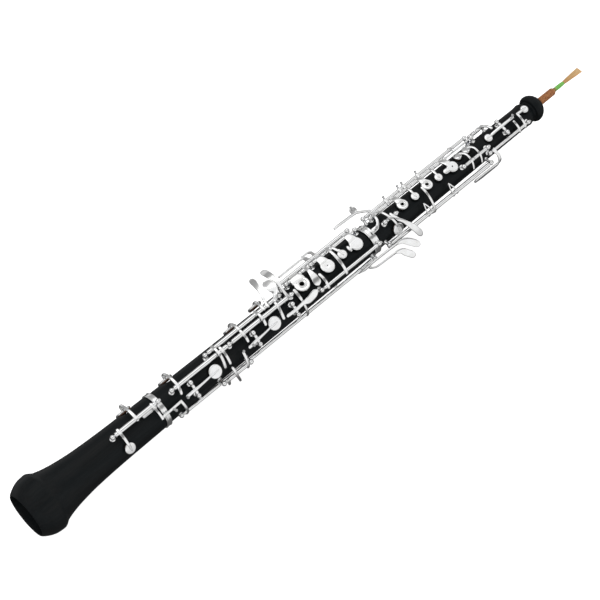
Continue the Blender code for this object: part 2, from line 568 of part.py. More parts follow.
def make_upper_joint():
    """The upper joint: tenon, tapering body, waist and the bulb with the well for the reed."""
    tenon = [(358.0, UPPER_TENON_RADIUS), (UPPER_START, UPPER_TENON_RADIUS)]
    bulb = [(578.6, 8.7), (579.4, 10.9), (582.2, 12.6), (584.5, 12.3), (587, 11.0), (589.6, 8.7), (592.3, 5.4)]
    well = [(CROWN_TOP, 4.3), (572, 3.7), (571.9, 2.2), (358.0, 4.6)]
    outline = tenon + UPPER_OUTSIDE + bulb + well
    return finish(turned_ring("upper_joint", outline), "upper_joint", BLACKWOOD)


def make_thumb_rest():
    """The rest for the right thumb, a plate on the back with a hook standing away from it."""
    x = 330.0
    back = body_radius(x - 14) + GAP
    plate = strip([(x - 14, 180, back + 0.9, 9), (x + 12, 180, back + 0.9, 9)], 1.6)
    hook = strip([(x + 4, 180, back + 0.8, 10), (x + 3, 180, 19, 12), (x - 1, 180, 25.0, 15)], 2.4)
    obj = combine("thumb_rest", plate, [hook])
    tidy_mesh(obj)
    return finish(obj, "thumb_rest", SILVER)


REED_WELL_END = 574.0
CORK_TOP = 613.4
THREAD_START = 615.6
THREAD_END = 627.2
REED_TIP = 650.0
STAPLE_RADIUS = 2.0


def make_reed():
    """The reed: cork on a brass staple, thread winding, and the flattened cane."""
    x_axis = Vector((1, 0, 0))
    staple_loop = [
        (REED_WELL_END, 2.5), (CORK_TOP + 2.0, STAPLE_RADIUS), (CORK_TOP + 2.0, 1.3), (REED_WELL_END, 1.9),
    ]
    staple = turned_ring("reed_staple", staple_loop, 10)
    finish(staple, "reed_staple", BRASS)
    cork_loop = [
        (REED_WELL_END + 1, 2.85), (REED_WELL_END + 1, 3.3), (CROWN_TOP, 3.6), (CORK_TOP - 1, 3.5),
        (CORK_TOP, 2.9), (CORK_TOP, 2.4),
    ]
    finish(turned_ring("reed_cork", cork_loop, 10), "reed_cork", CORK)
    thread = turned("reed_thread", Vector((THREAD_START + 0.1, 0, 0)), x_axis,
                    [(0, 1.7), (0.8, 2.0), (10.4, 1.9), (11.2, 1.6)], 10)
    finish(thread, "reed_thread", THREAD)
    blade = [(THREAD_END + 0.1, 1.6, 1.7), (633, 1.5, 2.2), (641, 1.0, 2.8), (REED_TIP, 0.35, 3.3)]
    verts = []
    sides = 12
    for x, half_thick, half_wide in blade:
        for i in range(sides):
            angle = 2 * math.pi * (i + 0.5) / sides
            verts.append((x, half_wide * math.cos(angle), half_thick * math.sin(angle)))
    finish(solid("reed_cane", verts, rings_to_faces(len(blade), sides)), "reed_cane", CANE)


def main():
    for obj in list(bpy.data.objects):
        bpy.data.objects.remove(obj)
    make_bell()
    make_bell_ring()
    make_lower_joint()
    make_sleeve("lower_tenon_cork", 118.5, 130.5, CORK_INSIDE, CORK_OUTSIDE, CORK)
    make_middle_ring()
    make_upper_joint()
    make_sleeve("upper_tenon_cork", 360.0, 369.0, UPPER_TENON_RADIUS + GAP, UPPER_SOCKET_RADIUS - GAP, CORK)
    make_thumb_rest()
    make_reed()
    for name in LINES:
        make_rod(name)
    for name, key in KEYS.items():
        make_key(name, *key)


main()
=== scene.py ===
"""The looks of the oboe: turned blackwood, silver keywork on posts, pads, springs and the reed."""
import math

import bmesh
import bpy
import numpy as np
from mathutils import Matrix, Vector


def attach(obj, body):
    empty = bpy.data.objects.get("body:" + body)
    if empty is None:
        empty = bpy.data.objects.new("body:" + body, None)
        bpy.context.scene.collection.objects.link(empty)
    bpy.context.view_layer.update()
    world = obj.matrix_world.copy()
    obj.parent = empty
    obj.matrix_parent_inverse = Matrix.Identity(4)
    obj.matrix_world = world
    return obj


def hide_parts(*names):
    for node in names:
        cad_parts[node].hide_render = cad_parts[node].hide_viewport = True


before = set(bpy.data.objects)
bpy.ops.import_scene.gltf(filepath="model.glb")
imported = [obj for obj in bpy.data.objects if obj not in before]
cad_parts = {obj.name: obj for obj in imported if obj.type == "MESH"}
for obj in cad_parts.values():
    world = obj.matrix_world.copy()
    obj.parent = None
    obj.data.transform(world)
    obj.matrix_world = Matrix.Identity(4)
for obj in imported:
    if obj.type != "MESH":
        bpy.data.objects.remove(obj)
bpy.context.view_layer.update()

# ---------------------------------------------------------------- dimensions, millimetres
# A place is (x, turn, r): x from the bell's mouth along the bore, turn in degrees about the bore
# from the front (+Z) towards +Y, and r the distance from the bore's axis.
MM = 0.001
ROD_RADIUS = 0.8
LOWER_TUBE = 1.9
UPPER_TUBE = 1.5
ARM_THICKNESS = 1.5
CUP_THICKNESS = 2.0
POST_HEAD = 2.15
PAD_THICKNESS = 0.9
RECESS_MARGIN = 0.9       # wood cut away round a cup
CHIMNEY_HEIGHT = 0.8      # how far a tone hole's rim stands up in its recess
BODY_SIDES = 160
TENON_RADIUS = 9.4
LOWER_BORE = 4.0          # a tone hole's cutter starts this far from the bore's axis
UPPER_BORE = 3.0
BELL_BORE = 8.0
BAR_STEP = 0.9            # arms are made in steps about this long
END_STEPS = 6             # and in this many finer ones where an end is rounded
LAP = 2.3                 # how far an arm reaches over the far side of its tube
ALONG_BORE = 0.9          # an axis with more X than this lies along the bore
CUTTER_TOP = 30.0         # clear of the widest part of the body
SPRING_LENGTH = 15.0
SCREW_LENGTH = 2.4        # of an adjusting screw's pin
LEAF_HALF = 1.9           # half the width of a leaf-shaped loop
THUMB_REST_X = 330.0

BELL_END = 131.4
RING_END = 137.0
JOINT_START = 137.4
MIDDLE_RING_START = 370.0
MIDDLE_RING_END = 377.0
UPPER_START = 377.4
CROWN_TOP = 593.4
BELL_RING_RADIUS = 15.95
MIDDLE_RING_RADIUS = 13.95
WELL_END = 574.0          # the reed's staple starts here, in its well
CORK_TOP = 613.4
THREAD_START = 615.7
THREAD_END = 627.1
SCRAPE_START = 631.0      # the cane's bark is scraped away from here to near its tip
SCRAPE_END = 649.0
REED_TIP = 650.0
THREAD_THICKNESS = 0.25   # half the width of the thread

# Outlines are (x, radius).
BELL_LIP = [(0.0, 19.9), (0.9, 20.8), (3.8, 22.7), (7.7, 24.6), (12, 25.8), (17.2, 26.2)]
BELL_SHOULDER = [(17.2, 26.2), (18.6, 26.1), (20.5, 25.3), (23.0, 23.6), (24.0, 23.0)]
BELL_FLARE = [(24.0, 23.0), (31, 21.0), (42, 19.0), (60, 17.1), (88, 15.9), (BELL_END - 1.2, 15.1)]
BELL_HOLLOW = [(112, 8.6), (70, 10.4), (30, 15.2), (8, 18.6), (1.2, 19.1)]
LOWER_OUTSIDE = [(JOINT_START, 14.5), (160, 14.2), (240, 13.5), (MIDDLE_RING_START - 0.3, 12.4)]
UPPER_OUTSIDE = [(UPPER_START, 12.1), (430, 11.4), (500, 10.8), (566, 10.35)]
CROWN_WAIST = [(566, 10.35), (570.2, 10.6), (572.6, 10.9), (574.4, 10.4), (576.8, 9.0), (578.8, 8.6),
               (579.8, 9.2)]
CROWN_BULB = [(579.8, 9.2), (580.0, 10.9), (580.9, 12.0), (583.0, 12.7), (585.3, 12.4), (587.9, 11.2),
              (590.5, 8.9), (592.4, 6.3), (593.3, 5.1)]

ORIGIN = Vector((0, 0, 0))
X_AXIS = Vector((1, 0, 0))


def outward(turn):
    """The way out of the body at a turn about the bore."""
    return Vector((0, math.sin(math.radians(turn)), math.cos(math.radians(turn))))


def place(x, turn, r):
    return X_AXIS * x + outward(turn) * r


def turn_and_radius(spot):
    """The turn about the bore and the distance from it of a place in space."""
    return math.degrees(math.atan2(spot.y, spot.z)), math.hypot(spot.y, spot.z)


def long_line(turn, r, x_from, x_to):
    """A hinge line parallel to the bore."""
    return place(x_from, turn, r), place(x_to, turn, r)


def cross_line(x, turn_from, turn_to, r):
    """A short hinge line square to the bore, between two posts."""
    return place(x, turn_from, r), place(x, turn_to, r)


# name: (line, radius of the key tubes on it, distances of its middle posts from its start)
LINES = {
    "bell_rod": (long_line(-6, 19.3, 87.2, 134.2), LOWER_TUBE, []),
    "low_key_rod": (long_line(-6, 18.0, 148.9, 280.5), LOWER_TUBE, [62.4]),
    "little_finger_rod": (long_line(12.7, 18.24, 189.9, 272.0), LOWER_TUBE, []),
    "left_low_rod": (long_line(-97, 16.0, 146.5, 366.5), UPPER_TUBE, []),
    "side_link_rod": (long_line(-82, 20.0, 189.3, 218.8), UPPER_TUBE, []),
    "lower_stack_rod": (long_line(34, 17.0, 285.5, 366.0), LOWER_TUBE - 0.2, [28.8]),
    "long_bar_rod": (long_line(46, 19.0, 280.0, 361.0), LOWER_TUBE - 0.2, []),
    "front_link_rod": (long_line(-50, 17.5, 305.4, 373.6), UPPER_TUBE, []),
    "upper_stack_rod": (long_line(40, 15.3, 385.5, 512.0), UPPER_TUBE, [92.0]),
    "trill_lever_rod": (long_line(50, 17.8, 380.6, 507.0), UPPER_TUBE, []),
    "left_link_rod": (long_line(-82, 17.3, 383.0, 511.0), UPPER_TUBE + 0.4, []),
    "g_sharp_rod": (long_line(-12, 16.5, 389.9, 402.9), UPPER_TUBE, []),
    "trill_rod": (long_line(-32, 15.0, 484.0, 514.8), UPPER_TUBE, []),
    "octave_rod": (long_line(-56, 14.0, 514.6, 565.0), UPPER_TUBE, []),
    "thumb_octave_rod": (long_line(62, 15.0, 514.6, 530.2), UPPER_TUBE, []),
    "c_sharp_pivot": (cross_line(165.0, -20.7, -61.4, 18.5), UPPER_TUBE + 0.1, []),
    "e_flat_pivot": (cross_line(233.3, -22.0, -58.6, 18.0), UPPER_TUBE + 0.1, []),
    "banana_pivot": (cross_line(276.0, -27.5, -62.5, 18.0), UPPER_TUBE + 0.1, []),
    "first_octave_pivot": (cross_line(540.0, 20.0, -32.7, 15.2), UPPER_TUBE, []),
}


# ---------------------------------------------------------------- curves
def slopes(at, values):
    """Slopes of a curve that passes through the values and never overshoots them."""
    rise = np.diff(values) / np.diff(at)
    inner = [2 * a * b / (a + b) if a * b > 0 else 0.0 for a, b in zip(rise, rise[1:])]
    return np.array([rise[0], *inner, rise[-1]])


def smooth(points, spots, spacing):
    """Rows of numbers along a smooth curve through the points, which lie at the spots in space."""
    points = np.array(points, float)
    gaps = [(b - a).length for a, b in zip(spots, spots[1:])]
    at = np.concatenate([[0], np.cumsum(gaps)])
    fine = []
    for i, gap in enumerate(gaps):
        count = max(2, math.ceil(gap / spacing))
        fine += [at[i] + gap * k / count for k in range(count)]
    fine.append(at[-1])
    columns = []
    for values in points.T:
        slope = slopes(at, values)
        found = []
        for here in fine:
            i = min(int(np.searchsorted(at, here, side="right")) - 1, len(gaps) - 1)
            u = (here - at[i]) / gaps[i]
            a, b = values[i], values[i + 1]
            found.append(a + (b - a) * u * u * (3 - 2 * u)
                         + gaps[i] * u * (1 - u) * ((1 - u) * slope[i] - u * slope[i + 1]))
        columns.append(found)
    return np.array(columns).T


def smooth_outline(points, spacing=3.0):
    """A turned outline with more points along it, without a corner."""
    spots = [Vector((x, r, 0)) for x, r in points]
    return [tuple(row) for row in smooth(points, spots, spacing)]


def filleted(outline, radius, steps=4):
    """An outline of (along, radius) points with its inner corners rounded."""
    out = [outline[0]]
    for before, corner, after in zip(outline, outline[1:], outline[2:]):
        a, c, b = Vector(before), Vector(corner), Vector(after)
        size = min(radius, (a - c).length * 0.45, (b - c).length * 0.45)
        start = c + (a - c).normalized() * size
        end = c + (b - c).normalized() * size
        for k in range(steps + 1):
            t = k / steps
            out.append(tuple(start * (1 - t) ** 2 + c * 2 * t * (1 - t) + end * t ** 2))
    return out + [outline[-1]]


# ---------------------------------------------------------------- shells
class Shell:
    """Closed surfaces gathered for one piece, in millimetres."""

    def __init__(self):
        self.verts = []
        self.faces = []

    def loft(self, rings, closed=False):
        """Quads through successive rings of points, capped unless the rings close up."""
        sides = len(rings[0])
        base = len(self.verts)
        for ring in rings:
            self.verts += [tuple(p) for p in ring]
        count = len(rings)
        for i in range(count if closed else count - 1):
            here = base + i * sides
            there = base + (i + 1) % count * sides
            for j in range(sides):
                k = (j + 1) % sides
                self.faces.append((here + j, here + k, there + k, there + j))
        if not closed:
            self.faces.append(tuple(base + j for j in range(sides))[::-1])
            self.faces.append(tuple(base + (count - 1) * sides + j for j in range(sides)))

    def turned(self, start, axis, outline, sides=24, closed=False):
        """A turned shape: outline is (distance along the axis, radius)."""
        first, second = side_vectors(axis)
        angles = [2 * math.pi * (i + 0.5) / sides for i in range(sides)]
        spokes = [first * math.cos(angle) + second * math.sin(angle) for angle in angles]
        rings = [[start + axis * along + spoke * radius for spoke in spokes] for along, radius in outline]
        self.loft(rings, closed)

    def ribbon(self, line, ups, widths, thick, top=3.0, under=6.0, dish=0.0, ends=(True, True),
               sides=16):
        """A flat bar through the points of a line, facing ups, with round or square ends.

        top and under are how square its edges are, and dish how hollow its face is.
        """
        gaps = [(b - a).length for a, b in zip(line, line[1:])]
        at = np.concatenate([[0], np.cumsum(gaps)])
        length = at[-1]
        reach = [min(width / 2, length * 0.4) for width in (widths[0], widths[-1])]
        stops = ribbon_stops(length, reach)
        line = np.array([np.interp(stops, at, [p[i] for p in line]) for i in range(3)]).T
        ups = np.array([np.interp(stops, at, [u[i] for u in ups]) for i in range(3)]).T
        widths = np.interp(stops, at, widths)
        rings = []
        last = None
        for i, distance in enumerate(stops):
            along = Vector(line[min(i + 1, len(stops) - 1)] - line[max(i - 1, 0)]).normalized()
            side, up = ribbon_axes(along, Vector(ups[i]), last)
            last = side
            shrink = 1.0
            for rounded, gone, size in zip(ends, (distance, length - distance), reach):
                if rounded and gone < size:
                    shrink = min(shrink, math.sqrt(max(0.02, 1 - (1 - gone / size) ** 2)))
            half = widths[i] / 2 * shrink
            rise = thick / 2 * (0.45 + 0.55 * shrink)
            # Each ring is a superellipse: a power over 2 in top or under squares its edges.
            ring = []
            for j in range(sides):
                angle = 2 * math.pi * j / sides
                c, s = math.cos(angle), math.sin(angle)
                power = 2 / (top if s > 0 else under)
                across = math.copysign(abs(c) ** power, c)
                height = math.copysign(abs(s) ** power, s) * rise
                if s > 0:
                    height -= dish * shrink * (1 - across ** 2)
                ring.append(Vector(line[i]) + side * across * half + up * height)
            rings.append(ring)
        self.loft(rings)

    def bar(self, points, thick=ARM_THICKNESS, facing=None, **how):
        """An arm or touch through (x, turn, r, width) points.

        It lies on a cylinder round the bore, or faces one way all along if facing gives the angle.
        """
        rows = smooth(points, [place(*p[:3]) for p in points], 0.3)
        line = [place(*row[:3]) for row in rows]
        ups = [outward(row[1] if facing is None else facing) for row in rows]
        self.ribbon(line, ups, rows[:, 3], thick, **how)


def ribbon_stops(length, reach):
    """Where along its length a ribbon gets its rings: closer together near its ends."""
    stops = set(np.linspace(0, length, max(3, int(length / BAR_STEP))))
    for k in range(END_STEPS):
        bend = 1 - math.cos(k * math.pi / (2 * END_STEPS))
        stops |= {reach[0] * bend, length - reach[1] * bend}
    stops = sorted(stops)
    return [stops[0]] + [stop for before, stop in zip(stops, stops[1:]) if stop - before > 0.01]


def ribbon_axes(along, facing, last):
    """A ring's way across and way up. It keeps to the side that the ring before it had."""
    side = along.cross(facing).normalized()
    if last is not None and side.dot(last) < 0:
        side = -side
    up = side.cross(along).normalized()
    if up.dot(facing) < 0:
        up = -up
    return side, up


def side_vectors(axis):
    """Two unit vectors square to an axis."""
    helper = X_AXIS if abs(axis.x) < ALONG_BORE else Vector((0, 0, 1))
    first = axis.cross(helper).normalized()
    return first, axis.cross(first).normalized()


def to_object(name, shell):
    """A mesh object from a shell, in metres, with smooth round faces and crisp corners."""
    mesh = bpy.data.meshes.new(name)
    mesh.from_pydata([tuple(Vector(v) * MM) for v in shell.verts], [], shell.faces)
    bm = bmesh.new()
    bm.from_mesh(mesh)
    bmesh.ops.remove_doubles(bm, verts=bm.verts, dist=0.000002)
    bmesh.ops.recalc_face_normals(bm, faces=bm.faces)
    bm.to_mesh(mesh)
    bm.free()
    mesh.shade_smooth()
    mesh.set_sharp_from_angle(angle=math.radians(38))
    obj = bpy.data.objects.new(name, mesh)
    bpy.context.collection.objects.link(obj)
    return obj


def piece(name, shape, material, body="root", stands_for=()):
    """A finished piece: its mesh, material, the body it rides on and the nodes it stands for.

    shape is a shell, or an object that is ready.
    """
    obj = shape if isinstance(shape, bpy.types.Object) else to_object(name, shape)
    obj.name = name
    obj.data.materials.clear()
    obj.data.materials.append(material)
    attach(obj, body)
    if stands_for:
        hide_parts(*stands_for)
    return obj


# ---------------------------------------------------------------- materials
def set_sockets(node, sockets):
    """Set a node's inputs by name, with an underscore for each space in a name."""
    for socket, value in sockets.items():
        node.inputs[socket.replace("_", " ")].default_value = value


def new_node(tree, kind, **sockets):
    node = tree.nodes.new(f"ShaderNode{kind}")
    set_sockets(node, sockets)
    return node


def fill_ramp(node, stops):
    """Give a colour ramp its stops, each (position, colour)."""
    elements = node.color_ramp.elements
    while len(elements) < len(stops):
        elements.new(0.5)
    for element, (position, colour) in zip(elements, stops):
        element.position = position
        element.color = (*colour, 1)


def math_node(tree, operation, *values):
    """A sum on numbers or nodes' outputs."""
    node = new_node(tree, "Math")
    node.operation = operation
    for socket, value in zip(node.inputs, values):
        if isinstance(value, (int, float)):
            socket.default_value = value
        else:
            tree.links.new(value, socket)
    return node.outputs["Value"]


class Look:
    """A procedural material, with short names for the nodes that it is made of."""

    def __init__(self, name, **sockets):
        self.material = bpy.data.materials.new(name)
        self.material.use_nodes = True
        self.tree = self.material.node_tree
        self.shader = self.tree.nodes["Principled BSDF"]
        set_sockets(self.shader, sockets)

    def link(self, out, into):
        self.tree.links.new(out, into)

    def coordinates(self, stretch):
        """Object coordinates in metres, multiplied along each axis."""
        source = new_node(self.tree, "TexCoord")
        mapping = new_node(self.tree, "Mapping", Scale=stretch)
        self.link(source.outputs["Object"], mapping.inputs["Vector"])
        return mapping.outputs["Vector"]

    def noise(self, stretch, detail=4.0, roughness=0.55):
        texture = new_node(self.tree, "TexNoise", Scale=1.0, Detail=detail, Roughness=roughness)
        self.link(self.coordinates(stretch), texture.inputs["Vector"])
        return texture.outputs["Fac"]

    def cells(self, stretch):
        """Distance from the middles of scattered cells."""
        texture = new_node(self.tree, "TexVoronoi", Scale=1.0)
        self.link(self.coordinates(stretch), texture.inputs["Vector"])
        return texture.outputs["Distance"]

    def along(self, start, end):
        """0 at one place along the bore and 1 at another, in millimetres."""
        split = new_node(self.tree, "SeparateXYZ")
        self.link(self.coordinates((1 / MM, 1 / MM, 1 / MM)), split.inputs["Vector"])
        return self.ranged(split.outputs["X"], start, end, 0.0, 1.0)

    def ranged(self, value, low, high, to_low, to_high):
        """A value that runs from to_low to to_high while another runs from low to high."""
        node = new_node(self.tree, "MapRange", From_Min=low, From_Max=high, To_Min=to_low, To_Max=to_high)
        self.link(value, node.inputs["Value"])
        return node.outputs["Result"]

    def ramp(self, factor, *stops):
        """Colours by a factor: stops are (position, colour)."""
        node = new_node(self.tree, "ValToRGB")
        fill_ramp(node, stops)
        self.link(factor, node.inputs["Fac"])
        return node.outputs["Color"]

    def mixed(self, factor, a, b, mode="MIX"):
        """Two colours mixed; each may be a number, a colour or a node's output."""
        node = new_node(self.tree, "Mix")
        node.data_type = "RGBA"
        node.blend_type = mode
        for socket, value in zip((node.inputs[0], node.inputs[6], node.inputs[7]), (factor, a, b)):
            if isinstance(value, (int, float)):
                socket.default_value = value
            elif isinstance(value, tuple):
                socket.default_value = (*value, 1)
            else:
                self.link(value, socket)
        return node.outputs[2]

    def bump(self, height, strength, distance):
        """Relief on the surface; the distance is in metres."""
        node = new_node(self.tree, "Bump", Strength=strength, Distance=distance)
        self.link(height, node.inputs["Height"])
        self.link(node.outputs["Normal"], self.shader.inputs["Normal"])

    def set(self, socket, out):
        self.link(out, self.shader.inputs[socket])


def blackwood_look():
    """Dense dark wood with a satin polish: fine grain along the bore and short open pores."""
    look = Look("blackwood", IOR=1.5, Specular_IOR_Level=0.10)
    grain = look.noise((25, 620, 620), detail=6.0, roughness=0.65)
    pores = look.noise((90, 2600, 2600), detail=2.0)
    streaks = look.noise((9, 150, 150), detail=3.0)
    wood = look.ramp(grain, (0.34, (0.0046, 0.0064, 0.0074)), (0.70, (0.0105, 0.0128, 0.0140)))
    warm = look.ramp(streaks, (0.45, (0.0058, 0.0076, 0.0084)), (0.80, (0.0165, 0.0125, 0.0100)))
    look.set("Base Color", look.mixed(0.3, wood, warm))
    look.set("Roughness", look.ranged(grain, 0.3, 0.7, 0.36, 0.50))
    look.bump(look.mixed(0.5, grain, pores), 0.16, 0.00012)
    return look.material


def silver_look(name, tint, smooth_part, rough_part):
    """Silver plate: hand polished, so its gloss is uneven, with faint swirls and tarnish."""
    look = Look(name, Metallic=1.0)
    handling = look.noise((140, 140, 140), detail=5.0)
    swirls = look.noise((900, 2300, 2300), detail=3.0)
    dull = tuple(c * s for c, s in zip(tint, (0.90, 0.895, 0.88)))
    look.set("Base Color", look.ramp(handling, (0.30, dull), (0.62, tint)))
    look.set("Roughness", look.ranged(handling, 0.28, 0.72, rough_part, smooth_part))
    look.bump(swirls, 0.05, 0.00006)
    return look.material


def cork_look():
    """Natural cork: mottled brown grains with dark specks between them."""
    look = Look("cork", Roughness=0.82)
    grains = look.cells((1100, 1100, 1100))
    patches = look.noise((520, 900, 900), detail=5.0, roughness=0.7)
    body = look.ramp(patches, (0.32, (0.15, 0.050, 0.018)), (0.5, (0.42, 0.165, 0.060)),
                     (0.72, (0.62, 0.30, 0.12)))
    specks = look.ramp(grains, (0.0, (0.35, 0.30, 0.28)), (0.30, (1.0, 1.0, 1.0)))
    look.set("Base Color", look.mixed(0.8, body, specks, "MULTIPLY"))
    look.bump(look.mixed(0.5, grains, patches), 0.6, 0.00018)
    return look.material


def thread_look():
    """Green nylon thread."""
    look = Look("thread", Roughness=0.55, Sheen_Weight=0.4, Sheen_Roughness=0.4)
    fibres = look.noise((5200, 1500, 1500), detail=3.0)
    look.set("Base Color", look.ramp(fibres, (0.3, (0.16, 0.52, 0.08)), (0.7, (0.34, 0.78, 0.17))))
    look.bump(fibres, 0.35, 0.00008)
    return look.material


def cane_look():
    """Split cane: straight fibres, glossy bark near the thread and scraped paler to the tip."""
    look = Look("cane", Subsurface_Weight=0.12, Subsurface_Scale=0.0006)
    fibres = look.noise((60, 3400, 3400), detail=5.0, roughness=0.7)
    scrape = look.along(SCRAPE_START, SCRAPE_END)
    bark = look.ramp(fibres, (0.30, (0.50, 0.25, 0.085)), (0.70, (0.76, 0.46, 0.18)))
    scraped = look.ramp(fibres, (0.28, (0.66, 0.38, 0.15)), (0.72, (0.92, 0.64, 0.34)))
    look.set("Base Color", look.mixed(scrape, bark, scraped))
    look.set("Roughness", look.ranged(fibres, 0.3, 0.7, 0.42, 0.60))
    look.bump(fibres, 0.3, 0.0001)
    return look.material


def brass_look():
    """Brass that is a little tarnished."""
    look = Look("brass", Metallic=1.0)
    stains = look.noise((700, 700, 700), detail=4.0)
    look.set("Base Color", look.ramp(stains, (0.3, (0.24, 0.19, 0.06)), (0.7, (0.52, 0.42, 0.18))))
    look.set("Roughness", look.ranged(stains, 0.3, 0.7, 0.42, 0.25))
    return look.material


def pad_look():
    """Fish-skin pads over felt, tan with a faint crinkle."""
    look = Look("pad_skin", Subsurface_Weight=0.08, Subsurface_Scale=0.0005)
    crinkle = look.noise((1500, 1500, 1500), detail=4.0)
    look.set("Base Color", look.ramp(crinkle, (0.3, (0.10, 0.045, 0.025)), (0.7, (0.20, 0.10, 0.055))))
    look.set("Roughness", look.ranged(crinkle, 0.3, 0.7, 0.5, 0.68))
    look.bump(crinkle, 0.3, 0.0001)
    return look.material


def spring_look():
    """Blued steel wire."""
    look = Look("blued_spring", Metallic=1.0)
    temper = look.noise((260, 900, 900), detail=2.0)
    look.set("Base Color", look.ramp(temper, (0.3, (0.035, 0.05, 0.11)), (0.7, (0.10, 0.12, 0.20))))
    look.set("Roughness", look.ranged(temper, 0.3, 0.7, 0.22, 0.34))
    return look.material


SILVER_TINT = (0.945, 0.95, 0.955)
LOOKS = {
    "blackwood": blackwood_look(),
    "key_silver": silver_look("key_silver", SILVER_TINT, 0.10, 0.20),
    "post_silver": silver_look("post_silver", (0.92, 0.925, 0.93), 0.12, 0.24),
    "ring_silver": silver_look("ring_silver", (0.95, 0.955, 0.96), 0.09, 0.17),
    "cork": cork_look(),
    "thread": thread_look(),
    "cane": cane_look(),
    "brass": brass_look(),
    "pads": pad_look(),
    "springs": spring_look(),
    "screws": silver_look("screw_steel", (0.55, 0.555, 0.56), 0.22, 0.34),
}


# ---------------------------------------------------------------- keys: what each one is made of
# A point of an arm or a touch is (x, turn, r, width).
def arm(*points, **how):
    return "arm", points, how


def touch(*points, **how):
    """A part the finger presses: broad, domed and smooth."""
    return "arm", points, {"thick": 1.9, "top": 2.2, "under": 3.2, "sides": 24, **how}


def cup(x, turn, bottom, radius, hole=0.0, ridge=0.0, opening=0.0, spine=None):
    """A pad cup.

    opening is how far the pad stands off its seat, and spine the way, along x and round the
    body, in which the end of its arm runs on over it.
    """
    how = {"hole": hole, "ridge": ridge, "opening": opening, "spine": spine}
    return "cup", (x, turn, bottom, radius), how


def screw(x, turn, r):
    """An adjusting screw; r is near the middle of its pin."""
    return "screw", (x, turn, r), {}


def tab(x):
    """A short arm on the upper stack's tube with an adjusting screw standing in it."""
    lug = arm((x, 40, 16.8, 2.4), (x, 44, 18.6, 2.4), (x, 50, 20.5, 2.4), thick=1.2)
    return lug, screw(x, 47, 21.4)


def leaf(x):
    """An open leaf-shaped loop that stands on the left link's tube and leans over the body."""
    tip = (x - 1, -41, 15.6, 1.3)
    return [arm((foot, -84, 18.6, 1.5), (belly, -62, 17.0, 1.2), tip, thick=1.2)
            for foot, belly in ((x, x - LEAF_HALF), (x + 4.4, x + LEAF_HALF))]


AROUND_LEFT = (0, -1)
AROUND_RIGHT = (0, 1)
TOWARD_REED = (1, 0)
TOWARD_BELL = (-1, 0)

